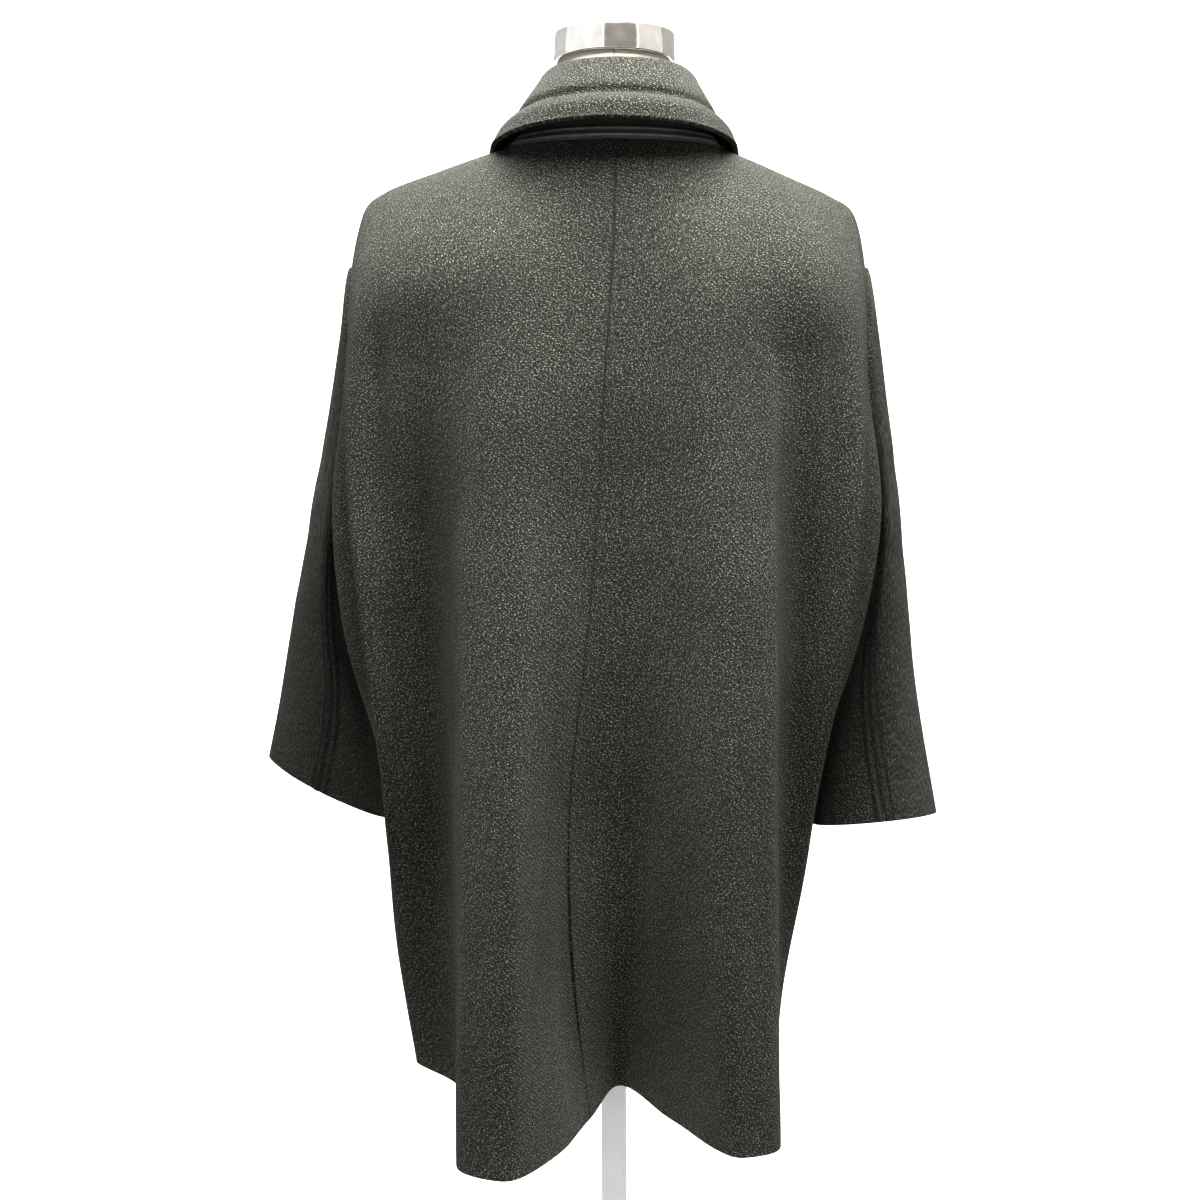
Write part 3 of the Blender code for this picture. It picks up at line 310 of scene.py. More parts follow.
# Where the relief starts and where it is full: distance from a panel's side edge, from the
# armhole for creases and for ridges, below the yoke's height and out from the front's middle
SIDE_CALM = (0.004, 0.045)
SLEEVE_CALM = (0.03, 0.12)
RIDGE_CALM = (0.02, 0.05)
YOKE_CALM = (0.0, 0.10)
BACK_YOKE_Z = 1.285
FRONT_YOKE_Z = 1.14
EDGE_CALM = (0.075, 0.120)

# Rims: radius of their rounding, and angle in degrees above which an edge is sharp
ROUNDING = 0.0009
STAND_ROUNDING = 0.0008
LEAF_ROUNDING = 0.0016
LAPEL_ROUNDING = 0.0010
RIM_ANGLE = 50
BASE_ANGLE = 35
COVER_ANGLE = 70

# Height of the turned-up hem's edge
HEM_DEPTH = 0.038

# Stitched ridges: distance from the edge, width and height
SLEEVE_RIDGES = ((0.0044, 0.0026, 0.0009), (0.0092, 0.0022, -0.0004))
FELT_RIDGES = ((0.0050, 0.0015, 0.0009), (0.0118, 0.0015, 0.0009))

# Creases on each piece: x and z where they start and end, width and height
CREASES = {
    ("back", "left"): (
        (0.000, 1.200, 0.022, 0.680, 0.024, -0.0050),
        (0.186, 1.220, 0.166, 0.560, 0.022, -0.0080),
        (0.133, 0.940, 0.130, 0.500, 0.009, 0.0024),
        (0.221, 1.285, 0.212, 1.010, 0.010, -0.0075),
        (0.212, 1.040, 0.196, 0.760, 0.010, -0.0050),
        (0.106, 1.235, 0.128, 1.060, 0.010, 0.0020),
        (0.128, 1.060, 0.142, 0.880, 0.009, 0.0018),
        (0.030, 0.780, 0.046, 0.560, 0.016, -0.0030),
        (0.084, 0.900, 0.098, 0.600, 0.014, 0.0016),
        (0.070, 1.160, 0.052, 0.980, 0.022, -0.0012),
        (0.168, 1.180, 0.160, 0.990, 0.020, -0.0022),
        (0.196, 1.220, 0.204, 1.010, 0.013, 0.0020),
        (0.176, 0.930, 0.168, 0.650, 0.014, -0.0022),
        (0.188, 0.860, 0.186, 0.620, 0.010, 0.0016),
    ),
    ("back", "right"): (
        (0.000, 1.200, 0.022, 0.680, 0.024, -0.0050),
        (-0.180, 1.250, -0.172, 0.900, 0.024, -0.0100),
        (-0.166, 0.950, -0.158, 0.560, 0.018, -0.0050),
        (-0.1430, 0.940, -0.1395, 0.510, 0.009, 0.0022),
        (-0.206, 1.275, -0.202, 0.990, 0.010, -0.0075),
        (-0.140, 1.180, -0.146, 0.930, 0.009, 0.0018),
        (-0.060, 1.120, -0.078, 0.880, 0.020, -0.0014),
        (-0.028, 0.900, -0.020, 0.620, 0.014, -0.0022),
        (-0.096, 0.800, -0.104, 0.560, 0.015, 0.0018),
        (-0.170, 1.160, -0.163, 0.960, 0.016, -0.0022),
        (-0.196, 1.190, -0.190, 0.990, 0.013, 0.0020),
        (-0.160, 0.900, -0.154, 0.660, 0.012, -0.0018),
    ),
    ("front", "left"): (
        (0.150, 1.060, 0.132, 0.760, 0.016, -0.0022),
        (0.176, 0.980, 0.162, 0.640, 0.013, 0.0022),
        (0.118, 0.900, 0.110, 0.600, 0.015, -0.0016),
    ),
    ("front", "right"): (
        (-0.146, 1.040, -0.128, 0.720, 0.015, -0.0022),
        (-0.164, 0.960, -0.150, 0.620, 0.013, 0.0020),
        (-0.108, 0.860, -0.100, 0.590, 0.015, -0.0015),
    ),
    ("sleeve_upper", "left"): (
        (0.292, 1.130, 0.262, 1.070, 0.010, -0.0020),
        (0.306, 1.060, 0.268, 0.990, 0.012, -0.0024),
        (0.318, 0.990, 0.276, 0.930, 0.011, 0.0018),
        (0.300, 0.900, 0.318, 0.800, 0.014, 0.0022),
    ),
    ("sleeve_under", "left"): (
        (0.262, 0.980, 0.290, 0.900, 0.010, -0.0016),
    ),
    ("sleeve_upper", "right"): (
        (-0.272, 1.120, -0.246, 1.060, 0.010, -0.0020),
        (-0.280, 1.040, -0.240, 0.980, 0.012, -0.0022),
        (-0.284, 0.960, -0.250, 0.910, 0.011, 0.0016),
        (-0.262, 0.900, -0.282, 0.800, 0.013, 0.0022),
    ),
    ("sleeve_under", "right"): (
        (-0.220, 0.920, -0.236, 0.840, 0.010, -0.0014),
    ),
}

# Weave and colours of the wool
TWILL_ANGLE = math.radians(-45)
TWILL_PITCH = 0.0036
WEAVE_DEPTH = 0.0011
SHEEN_WEIGHT = 0.15
SHEEN_TINT = (0.80, 0.82, 0.74, 1.0)
WOOL_BODY = (0.052, 0.054, 0.043, 1.0)
WOOL_DEEP = (0.015, 0.016, 0.013, 1.0)
# Darkest wool, for dark fibres and twill lines, and for the painted shade on rims and in furrows
WOOL_DARK_AND_PAINTED_SHADE = (0.010, 0.010, 0.009, 1.0)
WOOL_PALE = (0.092, 0.093, 0.076, 1.0)
WOOL_FLECK = (0.340, 0.343, 0.300, 1.0)

# Noises of the wool: scale, detail and roughness
WANDER = (260.0, 3.0, 0.5)
HAIRS = (1500.0, 3.0, 0.7)
CLOUDS = (7.0, 3.0, 0.55)
LUMPS = (38.0, 3.0, 0.5)

# Heights of the wool's lumps, of its stitched ridges and of the turned-up hem's edge
LUMP_HEIGHT = 0.0022
STITCH_HEIGHT = 0.0040
HEM_HEIGHT = -0.0005
HEM_WIDTH = 0.0022

# Beside a sleeve's seam: place and width of the furrows with painted shade, of the ridge and of its
# groove
SEAM_FURROW = (0.0082, 0.0014)
RIM_FURROW = (0.0, 0.0012)
SEAM_RIDGE = (0.0042, 0.0021)
SEAM_GROOVE = (0.0082, 0.0016)
GROOVE_DEPTH = -0.7
FURROW_PAINTED_SHADE = 0.32

# Painted shade on every panel's rim: distances where it starts to fade and ends, and its share
RIM_FADE = (0.0004, 0.0022)
RIM_PAINTED_SHADE = 0.42

# Grains of the wool: stretch of the noise over the cut, its turn and its roughness
WOOL_GRAINS = {
    "salt": ((820.0, 1150.0, 1.0), TWILL_ANGLE, 0.65),
    "light": ((560.0, 900.0, 1.0), TWILL_ANGLE + 0.2, 0.6),
    "dark": ((520.0, 840.0, 1.0), TWILL_ANGLE - 0.3, 0.6),
    "slub": ((60.0, 520.0, 1.0), 0.0, 0.5),
}

# Layers over the wool's body: grain, value where it starts and is full, largest share, colour
WOOL_LAYERS = (
    ("slub", 0.52, 0.72, 0.30, WOOL_PALE),
    ("dark", 0.53, 0.62, 0.95, WOOL_DARK_AND_PAINTED_SHADE),
    ("light", 0.55, 0.66, 0.95, WOOL_FLECK),
    ("hairs", 0.45, 0.75, 0.30, WOOL_PALE),
    ("broad", 0.35, 0.65, 0.20, WOOL_DARK_AND_PAINTED_SHADE),
)

# Colours of the felt, the cover, the plating, the paint, the buttons and the studio
# The felt's colours are painted paler than dark felt, as painted light on the stand in the leaf's
# shade
FELT_DARK = (0.100, 0.100, 0.095, 1.0)
FELT_LIGHT = (0.210, 0.208, 0.195, 1.0)
FELT_CLOUD = (0.280, 0.276, 0.260, 1.0)
# Painted highlight of the felt's stitched ridges
FELT_RIDGE_HIGHLIGHT = (0.50, 0.50, 0.47, 1.0)
COVER_LIGHT = (0.90, 0.86, 0.77, 1.0)
COVER_DEEP = (0.84, 0.79, 0.70, 1.0)
COVER_FIBRE = (0.74, 0.68, 0.58, 1.0)
METAL_LIGHT = (0.83, 0.81, 0.78, 1.0)
METAL_DEEP = (0.76, 0.75, 0.73, 1.0)
PAINT_LIGHT = (0.84, 0.84, 0.83, 1.0)
PAINT_DEEP = (0.78, 0.78, 0.77, 1.0)
HORN_DARK = (0.016, 0.014, 0.012, 1.0)
HORN_STREAK = (0.075, 0.060, 0.045, 1.0)
STUDIO_LIGHT = (0.93, 0.93, 0.93, 1.0)
STUDIO_DEEP = (0.90, 0.90, 0.90, 1.0)
NO_COLOR = (0.0, 0.0, 0.0, 1.0)

# Slot in the neck cap's rim
NOTCH_X = -0.002
NOTCH_HALF_WIDTH = 0.0032
NOTCH_REACH = 0.0025
NOTCH_DEPTH = 0.0016

# Light: look of the picture, world, then each lamp's name, place, aim, size and power
VIEW_LOOK = "High Contrast"
WORLD_STRENGTH = 0.12
WORLD_COLOR = (1.0, 1.0, 0.99, 1.0)
LIGHTS = (
    ("overhead", (-0.1, 0.55, 2.60), (0.0, 0.10, 1.1), (1.2, 0.8), 96.0),
    ("camera_side", (-0.4, 3.2, 2.3), (0.0, 0.0, 1.0), (1.0, 1.0), 6.0),
    ("front", (0.4, -2.4, 2.4), (0.0, 0.0, 1.0), (1.4, 1.0), 42.0),
)
FLOOR_RADIUS = 1.55
BACKDROP_RADIUS = 9.0
BACKDROP_PLACE = (0.0, 0.0, 1.0)
BACKDROP_GLOW = 1.1

# Camera: place, lens and sensor in millimetres, and the frame's shift in the photo's pixels
CAMERA_PLACE = (0.0, 2.1, 0.96)
CAMERA_LENS = 66.8
CAMERA_SENSOR = 36.0
PHOTO_SIZE = 1200
SHIFT_X = -14
SHIFT_Y = 19

# Cards that show in reflections alone: x and y of both ends, brightness and tint
CARD_LOW = 0.3
CARD_HIGH = 2.8
CARD_SPREAD = 0.06
MIRRORED = (
    ("card_middle", (0.85, 2.60), (-1.75, 1.90), 0.30, (1.0, 0.95, 0.88)),
    ("card_left", (0.95, 2.40), (2.50, -0.40), 0.80, (1.0, 1.0, 0.99)),
    ("card_right", (-1.80, 1.70), (-2.50, -0.40), 0.68, (1.0, 0.97, 0.91)),
    ("card_left_far", (2.52, -0.45), (1.00, -3.00), 0.48, (1.0, 1.0, 0.99)),
    ("card_right_far", (-2.52, -0.45), (-1.00, -3.00), 0.40, (1.0, 0.97, 0.91)),
)


def unit(vectors):
    """Vectors brought to length one."""
    return vectors / np.maximum(np.linalg.norm(vectors, axis=-1, keepdims=True), 1e-9)


def between(first, second, share):
    """Point at a share of the way from one point to another."""
    return [a + (b - a) * share for a, b in zip(first, second)]


def sample_line(points, splits, before=None, after=None):
    """Smooth line through points, with each stretch cut into its number of steps."""
    points = np.asarray(points, float)
    first = 2 * points[0] - points[1] if before is None else before
    last = 2 * points[-1] - points[-2] if after is None else after
    line = np.vstack([first, points, last])
    steps = np.maximum(np.linalg.norm(np.diff(line, axis=0), axis=1), 1e-6)[:, None]
    slopes = np.diff(line, axis=0) / steps
    turns = (slopes[:-1] * steps[1:] + slopes[1:] * steps[:-1]) / (steps[:-1] + steps[1:])
    result = []
    for index, count in enumerate(splits):
        length = steps[index + 1]
        leaving = np.minimum(length, HANDLE_LIMIT * steps[index])
        arriving = np.minimum(length, HANDLE_LIMIT * steps[index + 2])
        for step in range(count):
            f = step / count
            start = (1 + 2 * f) * (1 - f) ** 2 * points[index]
            end = f * f * (3 - 2 * f) * points[index + 1]
            leave = f * (1 - f) ** 2 * leaving * turns[index]
            arrive = f * f * (f - 1) * arriving * turns[index + 1]
            result.append(start + end + leave + arrive)
    result.append(points[-1])
    return np.array(result)


def neck_point(angle, sign):
    """Point of the neck seam at an angle from the middle of the back."""
    share = angle / 90
    across = NECK_HALF_WIDTH * math.sin(math.radians(angle))
    shift = SEAM_TOP_X * math.cos(math.radians(angle)) * sign
    depth = NECK_DEPTH * math.cos(math.radians(angle))
    return (across + shift, depth, NECK_BACK_Z + (NECK_SIDE_Z - NECK_BACK_Z) * share ** 2)


def armhole_ring(side, angle):
    """Point of the armhole's rim: 0 is its top, a quarter turn its back."""
    top_x, low_x = ARMHOLE_X[side]
    rise = math.cos(angle)
    across = (top_x + low_x) / 2 + (top_x - low_x) / 2 * rise
    depth = ARMHOLE_Y + ARMHOLE_HALF_DEPTH * math.sin(angle)
    return (across, depth, ARMHOLE_Z + ARMHOLE_HALF_HEIGHT * rise)


def guide_line(places, hem_z, top, over_shoulder):
    """Line from the hem to the neck or shoulder, level over the shoulder seam."""
    points = [(x, y, hem_z if level == 0 else HEIGHTS[level])
              for level, (x, y) in enumerate(places)]
    points.append(top)
    after = None
    if over_shoulder:
        last = points[-2]
        after = np.array((last[0], 2 * top[1] - last[1], last[2]))
    below = sum(ROW_SPLITS) - ARMHOLE_ROWS
    line = sample_line(points, ROW_SPLITS, after=after)
    fine = sample_line(points, [FINE_STEPS] * len(ROW_SPLITS), after=after)
    low, high = line[below, 2], line[-1, 2]
    steps = (1 - np.cos(np.arange(ARMHOLE_ROWS + 1) * math.pi / ARMHOLE_ROWS)) / 2
    rises = low + (high - low) * steps
    line[below:] = np.stack([np.interp(rises, fine[:, 2], fine[:, axis]) for axis in range(3)], 1)
    return line


def side_line(side, front):
    """Side seam up to the armhole, then the armhole's back or front rim."""
    underarm = armhole_ring(side, math.pi)
    points = [(x, y, SIDE_HEM_Z if level == 0 else HEIGHTS[level])
              for level, (x, y) in enumerate(SIDE_SEAM[side])]
    seam = sample_line(points + [underarm], ROW_SPLITS[:4])
    turn = -1.0 if front else 1.0
    rim = [armhole_ring(side, turn * math.pi * (1 - row / ARMHOLE_ROWS))
           for row in range(1, ARMHOLE_ROWS + 1)]
    return np.vstack([seam, rim])


def back_lines(side):
    """All guide lines of a back panel, from the centre seam to the side."""
    sign = SIDES[side]
    seam = [(sign * x, y) for x, y in BACK_SEAM]
    lines = [guide_line(seam, BACK_SEAM_HEM_Z, neck_point(0, sign), False)]
    shoulder = list(SHOULDER[side][:-1])
    for _, hem_z, places, angle in BACK_GUIDES[side]:
        if angle is None:
            lines.append(guide_line(places, hem_z, shoulder.pop(0), True))
        else:
            lines.append(guide_line(places, hem_z, neck_point(angle, sign), False))
    lines.append(side_line(side, False))
    return lines


def front_lines(side):
    """All guide lines of a front panel, from the side to the lapped edge."""
    lines = [side_line(side, True)]
    shoulder = list(SHOULDER[side][:-1])
    for _, hem_z, places in FRONT_GUIDES:
        narrowed = [(x * scale, y) for (x, y), scale in zip(places, FRONT_WIDTH[side])]
        lines.append(guide_line(narrowed, hem_z, shoulder.pop(), True))
    gorge = [(x, y, z) for (x, y), z in zip(GORGE_LINE, GORGE_HEIGHTS)]
    edge = [(-EDGE_LAP, y, z) for y, z in zip(EDGE_Y, EDGE_HEIGHTS)]
    lines.append(sample_line(gorge, ROW_SPLITS))
    lines.append(sample_line(edge, ROW_SPLITS))
    return lines


def loft(lines, splits, before, after):
    """Grid of points across guide lines, one row for each step up the lines."""
    rows = []
    for row in range(len(lines[0])):
        points = [line[row] for line in lines]
        rows.append(sample_line(points, splits,
                                None if before is None else before[row],
                                None if after is None else after[row]))
    return np.array(rows)


def mirrored(line):
    """The same line in the other side's own frame."""
    return line * np.array((-1.0, 1.0, 1.0))


def coat_grids():
    """Outer grids of the four body panels, each in its own side's frame."""
    back = {side: back_lines(side) for side in SIDES}
    front = {side: front_lines(side) for side in SIDES}
    grids = {}
    for side, other in (("left", "right"), ("right", "left")):
        grids["back", side] = loft(back[side], NECK_SPLITS[side] + SHOULDER_SPLITS,
                                   mirrored(back[other][1]), front[side][1])
        grids["front", side] = loft(front[side], SHOULDER_SPLITS[::-1] + NECKLINE_SPLITS,
                                    back[side][-2], None)
        shoulder = sample_line(SHOULDER[side], SHOULDER_SPLITS)
        grids["back", side][-1, -len(shoulder):] = shoulder
        grids["front", side][-1, :len(shoulder)] = shoulder[::-1]
    recess_underlap(grids["front", "right"])
    return grids


def recess_underlap(grid):
    """Set the edge that lies under the other front back by a cloth's thickness."""
    near, far = UNDERLAP_FADE
    share = smooth_step(far - grid[:, :, 0], 0, far - near)
    past = np.clip(-grid[:, :, 0] / EDGE_LAP, 0, 1)
    grid[:, :, 1] += UNDERLAP * (share + past / 2)


def grid_normals(grid):
    """Unit normals of a grid from the differences along its rows and columns."""
    up = np.gradient(grid, axis=0)
    across = np.gradient(grid, axis=1)
    return unit(np.cross(across, up))


def share_normals(first, second):
    """Give both sides of a seam the mean of their normals."""
    mean = unit(first + second)
    first[...] = mean
    second[...] = mean


def world(grid, side):
    """Turn a grid from its side's own frame into the part's frame."""
    return grid * np.array((SIDES[side], 1.0, 1.0))


def pull_in(grid, edge, rows=slice(None)):
    """Move one edge of a grid inward by half a seam gap."""
    views = {
        "first_column": (grid[rows, 0], grid[rows, 1]),
        "last_column": (grid[rows, -1], grid[rows, -2]),
        "first_row": (grid[0, rows], grid[1, rows]),
        "last_row": (grid[-1, rows], grid[-2, rows]),
    }
    outer, inner = views[edge]
    outer += unit(inner - outer) * GAP / 2


def body_panels():
    """World grids and outward normals of the four body panels with their seam gaps."""
    grids = coat_grids()
    panels = {}
    for key, grid in grids.items():
        placed = world(grid, key[1])
        normals = grid_normals(placed)
        panels[key] = [placed, -normals * SIDES[key[1]]]
    below = sum(ROW_SPLITS) - ARMHOLE_ROWS
    for side in SIDES:
        back, front = panels["back", side], panels["front", side]
        share_normals(back[1][:below, -1], front[1][:below, 0])
        count = sum(SHOULDER_SPLITS) + 1
        share_normals(back[1][-1, -count:], front[1][-1, count - 1::-1])
        rim = np.array((SIDES[side], 0.0, 0.0))
        back[1][below:, -1] = rim
        front[1][below:, 0] = rim
    share_normals(panels["back", "left"][1][:, 0], panels["back", "right"][1][:, 0])
    for side in SIDES:
        back, front = panels["back", side][0], panels["front", side][0]
        pull_in(back, "first_column")
        pull_in(back, "last_column", slice(0, below + 1))
        pull_in(front, "first_column", slice(0, below + 1))
        pull_in(back, "last_row", slice(-count, None))
        pull_in(front, "last_row", slice(0, count))
    return panels


def orient(grid, normals):
    """Whether the faces of a grid in row order look along its normals."""
    middle = grid.shape[0] // 2, grid.shape[1] // 2
    a = grid[middle[0], middle[1] + 1 if middle[1] + 1 < grid.shape[1] else middle[1]]
    b = grid[middle[0], middle[1] - 1]
    c = grid[middle[0] + 1 if middle[0] + 1 < grid.shape[0] else middle[0], middle[1]]
    d = grid[middle[0] - 1, middle[1]]
    return float(np.dot(np.cross(a - b, c - d), normals[middle])) > 0


def cut_cells(grid):
    """Two triangles for each cell of a grid, cut along its shorter diagonal."""
    rows, columns = grid.shape[:2]
    faces = []
    for row in range(rows - 1):
        for column in range(columns - 1):
            a = row * columns + column
            b, c, d = a + 1, a + columns + 1, a + columns
            rising = np.linalg.norm(grid[row, column] - grid[row + 1, column + 1])
            falling = np.linalg.norm(grid[row, column + 1] - grid[row + 1, column])
            if rising <= falling:
                faces += [(a, b, c), (a, c, d)]
            else:
                faces += [(a, b, d), (b, c, d)]
    return faces


def sleeve_rings(side):
    """Rings of one sleeve from the armhole to the cuff, as ends, depth and tilt."""
    top = np.array(armhole_ring(side, 0.0))
    low = np.array(armhole_ring(side, math.pi))
    fit = np.array((0.0, 0.0, SLEEVE_FIT))
    inward = np.array((WALL, 0.0, 0.0))
    lip = np.array((LIP_OUT, 0.0, 0.0))
    depth = ARMHOLE_HALF_DEPTH - SLEEVE_FIT
    rows = [(top - fit - inward, low + fit - inward, depth, 0.0),
            (top - fit + lip, low + fit + lip, depth, 0.0)]
    for _, outer, inner, half_depth, tilt in SLEEVE_STATIONS[side]:
        rows.append((np.array(outer), np.array(inner), half_depth, float(tilt)))
    outer = sample_line([row[0] for row in rows], SLEEVE_SPLITS)
    inner = sample_line([row[1] for row in rows], SLEEVE_SPLITS)
    shape = sample_line([(index * RING_PACE, row[2], math.radians(row[3]))
                         for index, row in enumerate(rows)], SLEEVE_SPLITS)
    return outer, inner, shape


def sleeve_grid(side, angles):
    """Outer grid of a sleeve piece between the angles given for each ring."""
    outer, inner, shape = sleeve_rings(side)
    grid = []
    for top, low, (_, depth, lean), row in zip(outer, inner, shape, angles):
        middle = (top + low) / 2
        reach = (top - low) / 2
        across = np.array((0.0, math.cos(lean), -math.sin(lean))) * depth
        grid.append([middle + reach * math.cos(a) + across * math.sin(a) for a in row])
    return world(np.array(grid), side)


def sleeve_angles(rings, part):
    """Ring angles of the upper or under sleeve, whose back seam swings to the cuff."""
    shares, swing = zip(*SEAM_SWING)
    rows = []
    for ring in range(rings):
        seam = float(np.interp(ring / (rings - 1), shares, swing))
        if part == "upper":
            rows.append(np.linspace(FRONT_SEAM_ANGLE, seam, UPPER_COLUMNS + 1))
        else:
            rows.append(np.linspace(seam, 2 * math.pi + FRONT_SEAM_ANGLE, UNDER_COLUMNS + 1))
    return rows


def sleeve_panels(side):
    """Grids and shared normals of the upper and under sleeve of one side."""
    rings = sum(SLEEVE_SPLITS) + 1
    upper = sleeve_grid(side, sleeve_angles(rings, "upper"))
    under = sleeve_grid(side, sleeve_angles(rings, "under"))
    normals = []
    for grid in (upper, under):
        made = grid_normals(grid)
        middle = grid[rings // 2].mean(axis=0)
        outward = grid[rings // 2, grid.shape[1] // 2] - middle
        if np.dot(made[rings // 2, grid.shape[1] // 2], outward) < 0:
            made = -made
        normals.append(made)
    share_normals(normals[0][:, -1], normals[1][:, 0])
    share_normals(normals[0][:, 0], normals[1][:, -1])
    for grid in (upper, under):
        pull_in(grid, "first_column")
        pull_in(grid, "last_column")
    return (upper, normals[0]), (under, normals[1])


def collar_seam(panels):
    """Neck seam of the collar, from the left gorge round the back to the right one."""
    halves = []
    for side in ("left", "right"):
        back = panels["back", side][0][-1]
        front = panels["front", side][0][-1]
        neck = back[:back.shape[0] - sum(SHOULDER_SPLITS)]
        first = sum(SHOULDER_SPLITS)
        gorge = front[first + 1:first + 1 + NECKLINE_SPLITS[0]]
        halves.append(np.vstack([neck, gorge]))
    left, right = halves
    return np.vstack([left[::-1], right[1:]])


def line_shares(line):
    """Share of a line's length at each of its points."""
    lengths = np.concatenate([[0], np.cumsum(np.linalg.norm(np.diff(line, axis=0), axis=1))])
    return lengths / lengths[-1]


def along_collar(table, shift, shares):
    """Line of the collar through a table of points, from left front to right front."""
    left = [(shift + x, y, z) for x, y, z in table[::-1]]
    right = [(shift - x, y, z) for x, y, z in table[1:]]
    line = sample_line(left + right, [FINE_STEPS] * (2 * len(table) - 2))
    own = line_shares(line)
    return np.stack([np.interp(shares, own, line[:, axis]) for axis in range(3)], 1)


def bump(share, place, width):
    """Smooth bump of height one around a place."""
    return math.exp(-((share - place) / width) ** 2)


def collar_panels(panels):
    """Grids and normals of the collar's stand and of its leaf."""
    seam = collar_seam(panels)
    fold = along_collar(COLLAR_FOLD, FOLD_SHIFT, line_shares(seam))
    edge = along_collar(COLLAR_EDGE, 0.0, line_shares(seam))
    out = unit((edge - fold) * np.array((1.0, 1.0, 0.0)))
    up = np.array((0.0, 0.0, 1.0))
    low, high = seam + up * LAY, fold + out * COLLAR_WALL
    stand = np.array([low + (high - low) * row / STAND_ROWS for row in range(STAND_ROWS + 1)])
    rise = unit(np.cross(np.gradient(fold, axis=0), out))
    rise *= np.sign(rise[:, 2:])
    middle = fold + out * FOLD_RADIUS + rise * GAP
    rows = []
    for degrees in FOLD_ANGLES:
        angle = math.radians(degrees)
        rows.append(middle + (out * math.cos(angle) + rise * math.sin(angle)) * FOLD_RADIUS)
    brink = rows[-1]
    fall = edge - brink
    facing = unit(np.cross(fall, np.cross(up, out)))
    facing *= np.sign((facing * out).sum(axis=1, keepdims=True))
    sideways = out[:, :1] ** 2
    behind = np.clip(out[:, 1:2], 0, 1)
    for row in range(1, LEAF_ROWS + 1):
        share = row / LEAF_ROWS
        lift = LEAF_BULGE * (1 - sideways) * math.sin(math.pi * share)
        lift -= behind * LEAF_CREASE[2] * bump(share, *LEAF_CREASE[:2])
        lift += behind * LEAF_ROLL[2] * bump(share, *LEAF_ROLL[:2])
        rows.append(brink + fall * share + facing * lift)
    leaf = np.array(rows)
    stand_normals, leaf_normals = outward(stand, out), outward(leaf, out)
    stand_normals[0] = out
    stand_normals[-1] = out
    leaf_normals[0] = -out
    return (stand, stand_normals), (leaf, leaf_normals)


def outward(grid, out):
    """Normals of a collar grid, turned so that its last row looks outward."""
    normals = grid_normals(grid)
    if (normals[-1] * out).sum() < 0:
        normals = -normals
    return normals


def leaf_walls():
    """Wall of each row of the leaf, thicker towards its edge."""
    arc = [COLLAR_WALL] * len(FOLD_ANGLES)
    fall = [COLLAR_WALL + (LEAF_EDGE_WALL - COLLAR_WALL) * row / LEAF_ROWS
            for row in range(1, LEAF_ROWS + 1)]
    return np.array(arc + fall)[:, None]


class Ground:
    """Outer face of a panel, on which smaller pieces are laid."""

    def __init__(self, grid):
        points = [Vector(point) for point in grid.reshape(-1, 3)]
        self.tree = BVHTree.FromPolygons(points, cut_cells(grid))

    def under(self, across, height):
        """Point of the face behind a place seen from the front."""
        hit = self.tree.ray_cast(Vector((across, -1.0, height)), Vector((0.0, 1.0, 0.0)))
        return np.array(hit[0])


def lapel_panel(side, ground):
    """Grid and normals of a lapel that lies on its front panel."""
    sign = SIDES[side]
    rows = []
    for row in range(LAPEL_ROWS + 1):
        share = row / LAPEL_ROWS
        roll = between(LAPEL_BREAK, LAPEL_GORGE, share)
        rim = between(LAPEL_BREAK, LAPEL_POINT, share)
        belly = LAPEL_BELLY * math.sin(math.pi * share)
        rim[0] += LAPEL_START * (1 - share) + belly
        line = []
        for column in range(LAPEL_COLUMNS + 1):
            place = between(roll, rim, column / LAPEL_COLUMNS)
            line.append(ground.under(sign * place[0], place[1]))
        rows.append(line)
    grid = np.array(rows)
    normals = grid_normals(grid)
    if normals[LAPEL_ROWS // 2, 1, 1] > 0:
        normals = -normals
    return grid + normals * (LAPEL_LIFT + WALL), normals


def ring_mesh(name, rings):
    """Closed mesh through rings of points, from the lowest ring to the highest."""
    form = bmesh.new()
    rows = [[form.verts.new(point) for point in ring] for ring in rings]
    for lower, upper in zip(rows, rows[1:]):
        for step in range(len(lower)):
            after = (step + 1) % len(lower)
            form.faces.new((lower[step], lower[after], upper[after], upper[step]))
    form.faces.new(rows[0][::-1])
    form.faces.new(rows[-1])
    mesh = bpy.data.meshes.new(name)
    form.to_mesh(mesh)
    form.free()
    return mesh


def turned_mesh(name, profile, sides):
    """Turned solid from a profile of radius and height, closed at both ends."""
    angles = [2 * math.pi * step / sides for step in range(sides)]
    rings = [[(radius * math.cos(angle), radius * math.sin(angle), height) for angle in angles]
             for radius, height in profile]
    return ring_mesh(name, rings)


def crest_height(side, across):
    """Height of the dress form's shoulder crest under the coat's seam."""
    near, far = SHOULDER[side][0], SHOULDER[side][3]
    share = (across - near[0]) / (far[0] - near[0])
    slope = math.atan2(near[2] - far[2], far[0] - near[0])
    drop = (WALL + FORM_CLEARANCE) / math.cos(slope)
    return near[2] + (far[2] - near[2]) * share - drop


def keep_under(points, covers):
    """Move the form's points that would touch the coat to just under its wall."""
    reach = WALL + FORM_CLEARANCE
    for point in points:
        for cover in covers:
            spot, normal, _, _ = cover.tree.find_nearest(point)
            if normal.z < 0:
                normal = -normal
            near = (point - spot).length < FORM_REACH
            if near and normal.z > FORM_FACING and point.z > FORM_COVERED_Z:
                depth = (point - spot).dot(normal)
                if -reach < depth < reach * FORM_DEPTH:
                    point -= normal * (depth + reach)


